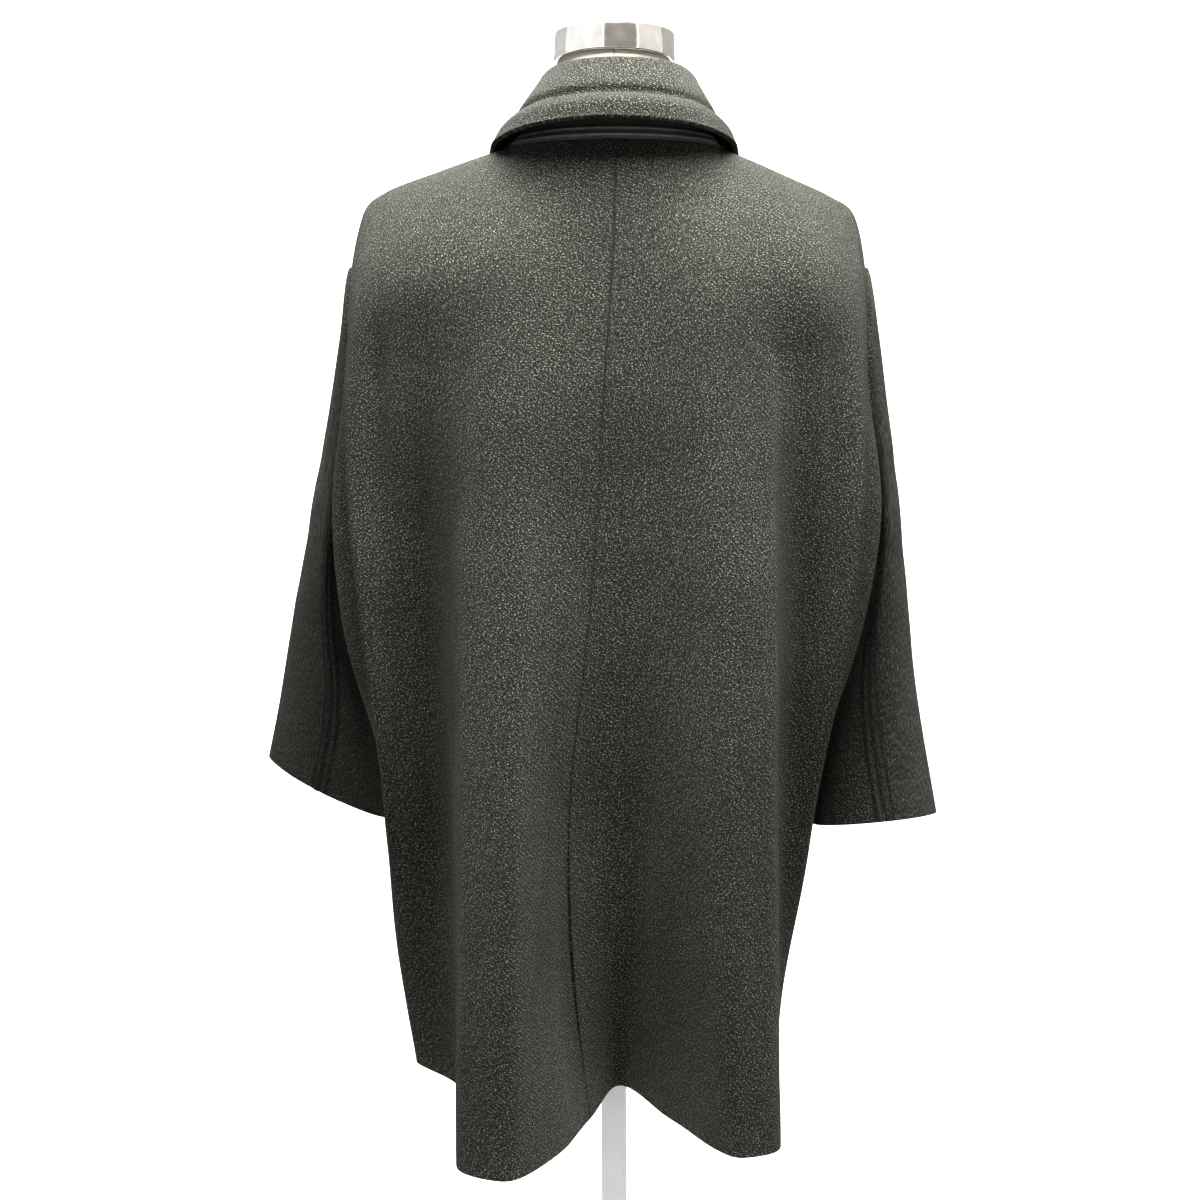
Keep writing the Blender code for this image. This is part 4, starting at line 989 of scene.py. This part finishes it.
def form_mesh(covers):
    """Limbless torso with its neck, lofted through the rings."""
    rings = []
    for half, back, front, side_z, back_z, front_z in FORM_RINGS:
        ring = []
        for step in range(FORM_SIDES):
            angle = 2 * math.pi * step / FORM_SIDES
            across, away = math.cos(angle), math.sin(angle)
            side = "left" if across > 0 else "right"
            rim_z = crest_height(side, half) if side_z is None else side_z
            far, far_z = (back, back_z) if away > 0 else (-front, front_z)
            height = rim_z + (far_z - rim_z) * abs(away) ** CREST_POWER
            ring.append(Vector((half * across, far * away, height)))
        rings.append(ring)
    keep_under([point for ring in rings for point in ring], covers)
    return ring_mesh("dress_form", rings[::-1])


def smooth_step(value, near, far):
    """Smooth step from 0 at near to 1 at far."""
    share = np.clip((value - near) / (far - near), 0.0, 1.0)
    return share * share * (3 - 2 * share)


def arc_lengths(grid, axis):
    """Length along the grid's rows or columns up to each of its points."""
    steps = np.linalg.norm(np.diff(grid, axis=axis), axis=2)
    lengths = np.cumsum(steps, axis=axis)
    return np.concatenate([np.zeros_like(lengths.take([0], axis=axis)), lengths], axis=axis)


def side_fade(grid, last_only):
    """Share that falls to nothing at a panel's last column, and at its first one too if asked."""
    across = arc_lengths(grid, 1)
    fade = smooth_step(across[:, -1:] - across, *SIDE_CALM)
    if not last_only:
        fade = fade * smooth_step(across, *SIDE_CALM)
    return fade


def crease_heights(grid, creases):
    """Height of the listed creases at each point, from their lines in x and z."""
    place = grid[:, :, (0, 2)]
    heights = np.zeros(place.shape[:2])
    for x_from, z_from, x_to, z_to, width, height in creases:
        start = np.array((x_from, z_from))
        way = np.array((x_to - x_from, z_to - z_from))
        share = ((place - start) @ way) / (way @ way)
        held = np.clip(share, 0.0, 1.0)
        nearest = start + held[..., None] * way
        aside = np.linalg.norm(place - nearest, axis=2) / width
        taper = np.sin(np.pi * np.clip(held, CREASE_TAPER, 1 - CREASE_TAPER)) ** CREASE_POWER
        heights += height * taper * np.exp(-aside ** 2)
    return heights


def unevenness(grid):
    """Slow waviness of thick cloth, in metres."""
    heights = np.zeros(grid.shape[:2])
    for pace, shift, height in WAVES:
        for row, column in np.ndindex(heights.shape):
            place = Vector(grid[row, column] * pace + shift)
            heights[row, column] += noise.noise(place) * height
    return heights


def relief(grid, normals, creases, fade):
    """Move a panel's points along their normals by its creases and its waviness."""
    heights = (crease_heights(grid, creases) + unevenness(grid)) * fade
    return grid + normals * heights[..., None]


def ridge_heights(distance, ridges):
    """Height of stitched ridges at each distance from an edge."""
    heights = np.zeros_like(distance)
    for place, width, height in ridges:
        heights += height * np.exp(-((distance - place) / width) ** 2)
    return heights


def quads(rows, columns):
    """Faces of a grid in row order."""
    faces = []
    for row in range(rows - 1):
        for column in range(columns - 1):
            a = row * columns + column
            faces.append((a, a + 1, a + columns + 1, a + columns))
    return faces


def border(rows, columns):
    """Indices of a grid's border, once round."""
    ring = [(0, c) for c in range(columns)]
    ring += [(r, columns - 1) for r in range(1, rows)]
    ring += [(rows - 1, c) for c in range(columns - 2, -1, -1)]
    ring += [(r, 0) for r in range(rows - 2, 0, -1)]
    return [r * columns + c for r, c in ring]


def add_map(mesh, name, pairs):
    """UV map with one pair for each vertex."""
    layer = mesh.uv_layers.new(name=name)
    corners = np.empty(len(mesh.loops), dtype=np.int32)
    mesh.loops.foreach_get("vertex_index", corners)
    layer.data.foreach_set("uv", pairs[corners].astype(np.float32).ravel())


def put_in_scene(name, data):
    """Object in the scene from a mesh, a lamp or a lens."""
    thing = bpy.data.objects.new(name, data)
    bpy.context.scene.collection.objects.link(thing)
    return thing


def smooth_faces(mesh, finish, degrees):
    """Give a mesh its finish and shade it smooth up to an angle."""
    mesh.materials.append(finish)
    mesh.shade_smooth()
    mesh.set_sharp_from_angle(angle=math.radians(degrees))


def cloth(name, grid, normals, thickness, finish, hem="first_row", rounding=ROUNDING):
    """Thin closed shell of cloth with soft rims and its cut's lengths as UV maps."""
    rows, columns = grid.shape[:2]
    inner = grid - normals * np.broadcast_to(thickness, grid.shape[:2])[..., None]
    points = np.vstack([grid.reshape(-1, 3), inner.reshape(-1, 3)])
    shift = rows * columns
    faces = quads(rows, columns)
    faces += [tuple(index + shift for index in reversed(face)) for face in faces]
    ring = border(rows, columns)
    for index, start in enumerate(ring):
        end = ring[(index + 1) % len(ring)]
        faces.append((start, start + shift, end + shift, end))
    if not orient(grid, normals):
        faces = [tuple(reversed(face)) for face in faces]
    mesh = bpy.data.meshes.new(name)
    mesh.from_pydata([tuple(point) for point in points], [], faces)
    across, along = arc_lengths(grid, 1), arc_lengths(grid, 0)
    middle = rows // 2, columns // 2
    leftward = np.cross(grid[middle[0], middle[1] + 1] - grid[middle],
                        grid[middle[0] + 1, middle[1]] - grid[middle])
    sign = -1.0 if float(np.dot(leftward, normals[middle])) > 0 else 1.0
    cut = np.stack([sign * across, along], 2).reshape(-1, 2)
    to_seam = np.minimum(across, across[:, -1:] - across)
    to_hem = along if hem == "first_row" else along[-1:] - along
    edges = np.stack([to_seam, to_hem], 2).reshape(-1, 2)
    add_map(mesh, "cut", np.vstack([cut, cut]))
    add_map(mesh, "edges", np.vstack([edges, edges]))
    smooth_faces(mesh, finish, RIM_ANGLE)
    piece = put_in_scene(name, mesh)
    bevel = piece.modifiers.new("soft_rims", "BEVEL")
    bevel.width = rounding
    bevel.segments = 3
    bevel.limit_method = "ANGLE"
    bevel.angle_limit = math.radians(RIM_ANGLE)
    bevel.harden_normals = False
    return piece


def flat_cut(grid):
    """Width, length and area of the flat cut that a grid was made from."""
    width = float(arc_lengths(grid, 1)[:, -1].max())
    length = float(arc_lengths(grid, 0)[-1].max())
    right = grid[:-1, 1:] - grid[:-1, :-1]
    up = grid[1:, :-1] - grid[:-1, :-1]
    area = float(np.linalg.norm(np.cross(right, up), axis=2).sum())
    return (round(width, 3), round(length, 3)), round(min(area, width * length), 4)


def declare(piece, node):
    """Say which body a piece rides on, which CAD node it replaces."""
    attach(piece, "root")
    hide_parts(node)


def wear(piece, grid, node):
    """Declare a cloth piece: what it stands for and how it is held; its flat cut is worked out but not
    used.
    """
    declare(piece, node)
    flat, area = flat_cut(grid)


def solid(name, mesh, finish, node, degrees, place=(0.0, 0.0, 0.0), turn=(0.0, 0.0, 0.0)):
    """Hard piece that stands for a CAD node, shaded smooth up to an angle."""
    smooth_faces(mesh, finish, degrees)
    piece = put_in_scene(name, mesh)
    piece.location = place
    piece.rotation_euler = turn
    bpy.context.view_layer.update()
    declare(piece, node)
    return piece


class Finish:
    """Material that is put together from shader nodes."""

    def __init__(self, name):
        self.material = bpy.data.materials.new(name)
        self.material.use_nodes = True
        self.nodes = self.material.node_tree.nodes
        self.links = self.material.node_tree.links
        self.shader = self.nodes["Principled BSDF"]

    def add(self, kind, inputs=(), **settings):
        """Node with its settings and with values or links for its inputs."""
        node = self.nodes.new(kind)
        for key, value in settings.items():
            setattr(node, key, value)
        for key, value in inputs:
            self.feed(node.inputs[key], value)
        return node

    def feed(self, socket, value):
        """Give a socket a value, or a link where the value is a socket."""
        if isinstance(value, bpy.types.NodeSocket):
            self.links.new(value, socket)
        else:
            socket.default_value = value

    def math(self, operation, first, second=0.0, third=0.0):
        """Result of one sum."""
        node = self.add("ShaderNodeMath", ((0, first), (1, second), (2, third)), operation=operation)
        return node.outputs[0]

    def bump_at(self, value, place, width):
        """Smooth bump of height one where a value is at a place."""
        away = self.math("DIVIDE", self.math("SUBTRACT", value, place), width)
        return self.math("EXPONENT", self.math("MULTIPLY", self.math("MULTIPLY", away, away), -1.0))

    def ramp(self, value, low, high, bottom=0.0, top=1.0):
        """Value brought smoothly from one span to another."""
        node = self.add("ShaderNodeMapRange",
                        (("Value", value), ("From Min", low), ("From Max", high),
                         ("To Min", bottom), ("To Max", top)), interpolation_type="SMOOTHSTEP")
        return node.outputs[0]

    def mix(self, share, first, second):
        """Colour between two others."""
        node = self.add("ShaderNodeMix", data_type="RGBA")
        self.feed(node.inputs["Factor"], share)
        self.feed(node.inputs[6], first)
        self.feed(node.inputs[7], second)
        return node.outputs[2]

    def grain(self, vector, scale, detail=2.0, roughness=0.5):
        """Noise over a vector."""
        node = self.add("ShaderNodeTexNoise",
                        (("Vector", vector), ("Scale", scale), ("Detail", detail),
                         ("Roughness", roughness)))
        return node.outputs[0]

    def stretch(self, vector, scale, turn=0.0):
        """Vector turned about its third axis and then scaled."""
        turned = self.add("ShaderNodeVectorRotate", (("Vector", vector), ("Angle", turn)),
                          rotation_type="Z_AXIS")
        node = self.add("ShaderNodeVectorMath", ((0, turned.outputs[0]), (1, scale)),
                        operation="MULTIPLY")
        return node.outputs[0]

    def cut(self, name):
        """Vector of one of the cloth's UV maps."""
        return self.add("ShaderNodeUVMap", uv_map=name).outputs[0]

    def axis(self, vector, index):
        """One part of a vector."""
        return self.add("ShaderNodeSeparateXYZ", ((0, vector),)).outputs[index]

    def place(self):
        """Place on the object, in metres."""
        return self.add("ShaderNodeTexCoord").outputs["Object"]

    def done(self, color, roughness, normal):
        """Material with its colour, roughness and normal fed."""
        for name, value in (("Base Color", color), ("Roughness", roughness), ("Normal", normal)):
            self.feed(self.shader.inputs[name], value)
        return self.material

    def height(self, value, distance, below=None):
        """Normal of a surface raised by a value times a distance."""
        node = self.add("ShaderNodeBump", (("Height", value), ("Distance", distance)))
        if below is not None:
            self.links.new(below, node.inputs["Normal"])
        return node.outputs[0]


def wool(name, ridges):
    """Thick flecked twill with a short nap, with or without ridges beside its seams and painted shade
    in their furrows.
    """
    made = Finish(name)
    cut = made.cut("cut")
    edges = made.cut("edges")
    seam = made.axis(edges, 0)
    place = made.place()
    wander = made.grain(cut, *WANDER)
    diagonal = made.stretch(cut, (1.0, 1.0, 1.0), TWILL_ANGLE)
    lines = made.math("MULTIPLY", made.axis(diagonal, 1), 2 * math.pi / TWILL_PITCH)
    lines = made.math("ADD", lines, made.math("MULTIPLY", wander, 6.0))
    twill = made.math("MULTIPLY_ADD", made.math("SINE", lines), 0.5, 0.5)
    grains = {key: made.grain(made.stretch(cut, stretch, turn), 1.0, 2.0, roughness)
              for key, (stretch, turn, roughness) in WOOL_GRAINS.items()}
    grains["hairs"] = made.grain(cut, *HAIRS)
    grains["broad"] = made.grain(place, *CLOUDS)
    color = made.mix(made.ramp(grains["salt"], 0.41, 0.59), WOOL_DEEP, WOOL_BODY)
    color = made.mix(made.ramp(twill, 0.0, 1.0, 0.28, 0.0), color, WOOL_DARK_AND_PAINTED_SHADE)
    for key, low, high, most, tint in WOOL_LAYERS:
        color = made.mix(made.ramp(grains[key], low, high, 0.0, most), color, tint)
    # Painted shade darkens every panel's rim
    color = made.mix(made.ramp(seam, *RIM_FADE, RIM_PAINTED_SHADE, 0.0), color, WOOL_DARK_AND_PAINTED_SHADE)
    made.shader.inputs["Sheen Weight"].default_value = SHEEN_WEIGHT
    made.shader.inputs["Sheen Roughness"].default_value = 0.45
    made.shader.inputs["Sheen Tint"].default_value = SHEEN_TINT
    made.shader.inputs["Specular IOR Level"].default_value = 0.15
    normal = made.height(made.grain(place, *LUMPS), LUMP_HEIGHT)
    if ridges:
        # Painted shade in the furrows beside the seam's ridge
        furrow = made.math("ADD", made.bump_at(seam, *SEAM_FURROW), made.bump_at(seam, *RIM_FURROW))
        color = made.mix(made.math("MULTIPLY", furrow, FURROW_PAINTED_SHADE), color, WOOL_DARK_AND_PAINTED_SHADE)
        groove = made.math("MULTIPLY", made.bump_at(seam, *SEAM_GROOVE), GROOVE_DEPTH)
        stitch = made.math("ADD", made.bump_at(seam, *SEAM_RIDGE), groove)
        puckers = made.grain(made.stretch(edges, (20.0, 110.0, 1.0)), 1.0, 2.0)
        stitch = made.math("MULTIPLY", stitch, made.ramp(puckers, 0.2, 0.8, 0.6, 1.1))
        normal = made.height(stitch, STITCH_HEIGHT, normal)
    turned = made.bump_at(made.axis(edges, 1), HEM_DEPTH, HEM_WIDTH)
    normal = made.height(turned, HEM_HEIGHT, normal)
    flecks = made.math("ADD", grains["salt"], grains["light"])
    weave = made.math("ADD", made.math("MULTIPLY", twill, 0.25), made.math("MULTIPLY", flecks, 0.9))
    weave = made.math("ADD", weave, made.math("MULTIPLY", grains["hairs"], 0.7))
    normal = made.height(weave, WEAVE_DEPTH, normal)
    return made.done(color, made.ramp(grains["hairs"], 0.3, 0.7, 0.86, 0.98), normal)


def felt():
    """Dark under-collar felt, painted paler as light under the leaf, with two ridges stitched along
    its lower edge.
    """
    made = Finish("under_collar_felt")
    cut = made.cut("cut")
    fuzz = made.grain(cut, 900.0, 4.0, 0.7)
    cloud = made.grain(cut, 45.0, 3.0)
    # Felt colours painted paler, as light under the leaf
    color = made.mix(made.ramp(fuzz, 0.3, 0.7), FELT_DARK, FELT_LIGHT)
    color = made.mix(made.ramp(cloud, 0.35, 0.7, 0.0, 0.35), color, FELT_CLOUD)
    rise = made.axis(made.cut("edges"), 1)
    ridges = made.math("ADD", *[made.bump_at(rise, place, 0.0013) for place, _, _ in FELT_RIDGES])
    wobble = made.grain(made.stretch(cut, (60.0, 5.0, 1.0)), 1.0, 2.0)
    ridges = made.math("MULTIPLY", ridges, made.ramp(wobble, 0.25, 0.6, 0.35, 1.0))
    # Painted highlight along the stitched ridges
    color = made.mix(made.math("MULTIPLY", ridges, 0.55), color, FELT_RIDGE_HIGHLIGHT)
    made.shader.inputs["Sheen Weight"].default_value = 0.25
    made.shader.inputs["Specular IOR Level"].default_value = 0.2
    normal = made.height(fuzz, 0.0006, made.height(ridges, 0.0016))
    return made.done(color, made.ramp(fuzz, 0.3, 0.7, 0.8, 0.95), normal)


def cream_cover():
    """Closely woven cream cloth that covers the dress form, with a seam down its middle."""
    made = Finish("cream_cover")
    place = made.place()
    cloud = made.grain(place, 18.0, 3.0)
    fibre = made.grain(place, 1400.0, 3.0, 0.7)
    color = made.mix(made.ramp(cloud, 0.3, 0.7), COVER_LIGHT, COVER_DEEP)
    color = made.mix(made.ramp(fibre, 0.4, 0.7, 0.0, 0.4), color, COVER_FIBRE)
    seam = made.bump_at(made.axis(place, 0), 0.0, 0.0009)
    normal = made.height(fibre, 0.0004, made.height(seam, -0.0012))
    return made.done(color, made.ramp(fibre, 0.3, 0.7, 0.65, 0.85), normal)


def polished_metal():
    """Bright plated metal, a little uneven."""
    made = Finish("polished_metal")
    place = made.place()
    haze = made.grain(made.stretch(place, (6.0, 6.0, 260.0)), 1.0, 3.0)
    cloud = made.grain(place, 60.0, 2.0)
    color = made.mix(made.ramp(cloud, 0.3, 0.7), METAL_LIGHT, METAL_DEEP)
    made.shader.inputs["Metallic"].default_value = 1.0
    return made.done(color, made.ramp(haze, 0.3, 0.7, 0.07, 0.16), made.height(haze, 0.00005))


def pale_paint():
    """Satin pale paint with a faint orange-peel surface."""
    made = Finish("pale_paint")
    place = made.place()
    peel = made.grain(place, 420.0, 2.0)
    cloud = made.grain(place, 9.0, 3.0)
    color = made.mix(made.ramp(cloud, 0.3, 0.7), PAINT_LIGHT, PAINT_DEEP)
    return made.done(color, made.ramp(cloud, 0.3, 0.7, 0.32, 0.42), made.height(peel, 0.00012))


def dark_horn():
    """Dark satin horn with paler streaks."""
    made = Finish("dark_horn")
    streak = made.grain(made.stretch(made.place(), (90.0, 320.0, 90.0), 0.7), 1.0, 4.0, 0.6)
    color = made.mix(made.ramp(streak, 0.45, 0.75), HORN_DARK, HORN_STREAK)
    return made.done(color, made.ramp(streak, 0.3, 0.7, 0.28, 0.40), made.height(streak, 0.0001))


def studio_white(name, glow):
    """Plain white finish, with its own even glow where that is above nothing."""
    made = Finish(name)
    cloud = made.grain(made.place(), 0.6, 2.0)
    color = made.mix(made.ramp(cloud, 0.3, 0.7), STUDIO_LIGHT, STUDIO_DEEP)
    made.feed(made.shader.inputs["Base Color"], color)
    made.shader.inputs["Roughness"].default_value = 0.9
    made.shader.inputs["Specular IOR Level"].default_value = 0.1
    if glow > 0:
        made.feed(made.shader.inputs["Emission Color"], color)
        made.shader.inputs["Emission Strength"].default_value = glow
    return made.material


def card_glow(name, strength, tint):
    """Almost even glow without any colour of its own."""
    made = Finish(name)
    cloud = made.grain(made.place(), 1.5, 2.0)
    least, most = strength * (1 - CARD_SPREAD), strength * (1 + CARD_SPREAD)
    made.feed(made.shader.inputs["Base Color"], NO_COLOR)
    made.feed(made.shader.inputs["Emission Color"], (*tint, 1.0))
    made.feed(made.shader.inputs["Emission Strength"], made.ramp(cloud, 0.3, 0.7, least, most))
    return made.material


def add_body(panels, plain):
    """The four body panels with their creases."""
    for (part, side), (grid, normals) in panels.items():
        if part == "back":
            fade = side_fade(grid, True) * smooth_step(BACK_YOKE_Z - grid[:, :, 2], *YOKE_CALM)
        else:
            out = np.abs(grid[:, :, 0])
            fade = side_fade(grid[:, ::-1], True)[:, ::-1] * smooth_step(out, *EDGE_CALM)
            fade = fade * smooth_step(FRONT_YOKE_Z - grid[:, :, 2], *YOKE_CALM)
        worn = relief(grid, normals, CREASES[part, side], fade)
        piece = cloth(f"{part}_{side}_cloth", worn, normals, WALL, plain)
        wear(piece, worn, f"{part}_{side}")


def add_sleeves(seamed):
    """Upper and under sleeve of both sides, with ridges along their seams."""
    for side in SIDES:
        for part, (grid, normals) in zip(("upper", "under"), sleeve_panels(side)):
            down = arc_lengths(grid, 0)
            fade = side_fade(grid, False) * smooth_step(down, *SLEEVE_CALM) * SLEEVE_RELIEF
            worn = relief(grid, normals, CREASES["sleeve_" + part, side], fade)
            across = arc_lengths(grid, 1)
            to_seam = across[:, -1:] - across if part == "upper" else across
            ridges = ridge_heights(to_seam, SLEEVE_RIDGES) * smooth_step(down, *RIDGE_CALM)
            worn = worn + normals * ridges[..., None]
            piece = cloth(f"sleeve_{part}_{side}_cloth", worn, normals, WALL, seamed, "last_row")
            wear(piece, worn, f"sleeve_{part}_{side}")


def add_collar(panels, plain, under):
    """Felt stand and woollen leaf."""
    (stand, normals), (leaf, leaf_normals) = collar_panels(panels)
    ridges = ridge_heights(arc_lengths(stand, 0), FELT_RIDGES)
    stand = stand + normals * ridges[..., None]
    piece = cloth("collar_stand_cloth", stand, normals, COLLAR_WALL, under, rounding=STAND_ROUNDING)
    wear(piece, stand, "collar_stand")
    piece = cloth("collar_leaf_cloth", leaf, leaf_normals, leaf_walls(), plain, "last_row",
                  LEAF_ROUNDING)
    wear(piece, leaf, "collar_leaf")


def add_lapels(panels, plain):
    """Both lapels on their front panels."""
    for side in SIDES:
        ground = Ground(panels["front", side][0])
        grid, normals = lapel_panel(side, ground)
        piece = cloth(f"lapel_{side}_cloth", grid, normals, WALL, plain, rounding=LAPEL_ROUNDING)
        wear(piece, grid, f"lapel_{side}")


def add_buttons(ground, finish):
    """Plain dished buttons that lie on the left front."""
    rim, flat, top = BUTTON_RADIUS, BUTTON_RADIUS * BUTTON_FLAT, BUTTON_THICK
    profile = ((rim - 0.0010, 0.0), (rim - 0.0003, 0.0005), (rim, 0.0012), (rim, top - 0.0012),
               (rim - 0.0004, top - 0.0004), (rim - 0.0012, top), (flat + 0.0012, top),
               (flat + 0.0004, top - 0.0005), (flat, top - BUTTON_DISH))
    for number, height in enumerate(BUTTON_HEIGHTS, 1):
        seat, above, below = (ground.under(0.0, height + rise) for rise in (0.0, rim, -rim))
        lean = math.atan2(above[1] - below[1], 2 * rim)
        solid(f"button_{number}_turned", turned_mesh("button", profile, BUTTON_SIDES), finish,
              f"button_{number}", RIM_ANGLE, (0.0, seat[1] - BUTTON_LIFT, height),
              (math.pi / 2 - lean, 0.0, 0.0))


def add_form(panels, finish):
    """Covered torso under the coat, smoothed."""
    covers = [Ground(grid) for grid, _ in panels.values()]
    mesh = form_mesh(covers)
    layer = mesh.attributes.new("crease_edge", "FLOAT", "EDGE")
    for index, edge in enumerate(mesh.edges):
        if all(abs(mesh.vertices[corner].co.z - FORM_TOP) < 1e-4 for corner in edge.vertices):
            layer.data[index].value = 1.0
    piece = solid("form_cover", mesh, finish, "dress_form", COVER_ANGLE)
    smooth = piece.modifiers.new("smooth", "SUBSURF")
    smooth.levels = 2
    smooth.render_levels = 2


def notch(mesh, top):
    """Small slot in the neck cap's upper rim, at the back."""
    for vertex in mesh.vertices:
        x, y, z = vertex.co
        if y > 0 and abs(x - NOTCH_X) < NOTCH_HALF_WIDTH and z > top - NOTCH_REACH:
            vertex.co.z -= NOTCH_DEPTH


def add_stand(chrome, paint):
    """Neck cap, pole and base."""
    low = FORM_TOP + GAP
    top = low + CAP_HEIGHT
    rim = CAP_RADIUS
    profile = ((rim - 0.0020, low), (rim - 0.0007, low + 0.0005), (rim, low + 0.0016),
               (rim, top - 0.0024), (rim - 0.0003, top - 0.0012), (rim - 0.0010, top - 0.0003),
               (rim - 0.0020, top), (rim - 0.0050, top), (rim - 0.0065, top - 0.0012))
    cap = turned_mesh("neck_cap", profile, CAP_SIDES)
    notch(cap, top)
    solid("neck_cap_plated", cap, chrome, "neck_cap", RIM_ANGLE)
    pole_top = FORM_RINGS[-1][3] - GAP
    pole = turned_mesh("pole", ((POLE_RADIUS, BASE_HEIGHT + GAP), (POLE_RADIUS, pole_top)), POLE_SIDES)
    solid("pole_painted", pole, paint, "pole", BASE_ANGLE)
    edge = BASE_RADIUS
    slope_start = (edge - 0.0030, BASE_RIM)
    slope_end = (HUB_RADIUS, BASE_HEIGHT - 0.006)
    profile = [(edge - 0.0020, 0.0), (edge - 0.0005, 0.0006), (edge, 0.0020),
               (edge, BASE_RIM - 0.0028), (edge - 0.0008, BASE_RIM - 0.0010), slope_start]
    for step in range(1, SLOPE_STEPS + 1):
        profile.append(between(slope_start, slope_end, step / SLOPE_STEPS))
    profile += [(HUB_RADIUS - 0.0015, BASE_HEIGHT - 0.0018), (HUB_RADIUS - 0.006, BASE_HEIGHT)]
    solid("base_painted", turned_mesh("base", profile, BASE_SIDES), paint, "base", BASE_ANGLE)


def add_floor():
    """Pale round floor under the stand."""
    profile = ((FLOOR_RADIUS - 0.01, -0.02), (FLOOR_RADIUS, -0.01), (FLOOR_RADIUS, -0.0002))
    mesh = turned_mesh("floor", profile, BASE_SIDES)
    mesh.materials.append(studio_white("floor_white", 0.0))
    put_in_scene("floor", mesh)


def add_backdrop():
    """White studio walls all round, which are seen and mirrored but give the cloth no light."""
    form = bmesh.new()
    bmesh.ops.create_icosphere(form, subdivisions=4, radius=BACKDROP_RADIUS)
    bmesh.ops.reverse_faces(form, faces=form.faces)
    mesh = bpy.data.meshes.new("backdrop")
    form.to_mesh(mesh)
    form.free()
    mesh.materials.append(studio_white("backdrop_white", BACKDROP_GLOW))
    mesh.shade_smooth()
    backdrop = put_in_scene("backdrop", mesh)
    backdrop.location = BACKDROP_PLACE
    backdrop.visible_diffuse = False
    backdrop.visible_shadow = False


def add_light(name, place, aim, size, power):
    """Large soft light that looks at a point."""
    lamp = bpy.data.lights.new(name, "AREA")
    lamp.shape = "RECTANGLE"
    lamp.size, lamp.size_y = size
    lamp.energy = power
    holder = put_in_scene(name, lamp)
    holder.location = place
    holder.rotation_euler = (Vector(aim) - Vector(place)).to_track_quat("-Z", "Y").to_euler()


def add_cards():
    """Glowing cards beside the picture, which show in reflections alone."""
    for name, first, last, strength, tint in MIRRORED:
        corners = ((*first, CARD_LOW), (*last, CARD_LOW), (*last, CARD_HIGH), (*first, CARD_HIGH))
        mesh = bpy.data.meshes.new(name)
        mesh.from_pydata(corners, [], [(0, 1, 2, 3)])
        mesh.materials.append(card_glow(name, strength, tint))
        card = put_in_scene(name, mesh)
        card.visible_camera = False
        card.visible_diffuse = False
        card.visible_shadow = False


def add_camera():
    """Camera level with the coat's middle, square to its back."""
    lens = bpy.data.cameras.new("camera")
    lens.lens = CAMERA_LENS
    lens.sensor_width = CAMERA_SENSOR
    lens.shift_x = SHIFT_X / PHOTO_SIZE
    lens.shift_y = SHIFT_Y / PHOTO_SIZE
    camera = put_in_scene("camera", lens)
    camera.location = CAMERA_PLACE
    camera.rotation_euler = (math.pi / 2, 0.0, math.pi)
    bpy.context.scene.camera = camera


def add_world():
    """Even pale light from all round, and the look of the picture."""
    surround = bpy.data.worlds.new("world")
    surround.use_nodes = True
    background = surround.node_tree.nodes["Background"]
    background.inputs["Color"].default_value = WORLD_COLOR
    background.inputs["Strength"].default_value = WORLD_STRENGTH
    scene = bpy.context.scene
    scene.world = surround
    scene.view_settings.view_transform = "Standard"
    scene.view_settings.look = VIEW_LOOK
    scene.view_settings.exposure = 0.0


def main():
    """Dress the CAD frame, light it and look at its back."""
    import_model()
    panels = body_panels()
    plain = wool("wool_plain", False)
    seamed = wool("wool_seamed", True)
    add_form(panels, cream_cover())
    add_body(panels, plain)
    add_sleeves(seamed)
    add_collar(panels, plain, felt())
    add_lapels(panels, plain)
    add_buttons(Ground(panels["front", "left"][0]), dark_horn())
    add_stand(polished_metal(), pale_paint())
    add_floor()
    add_backdrop()
    add_world()
    add_camera()
    for light in LIGHTS:
        add_light(*light)
    add_cards()


main()
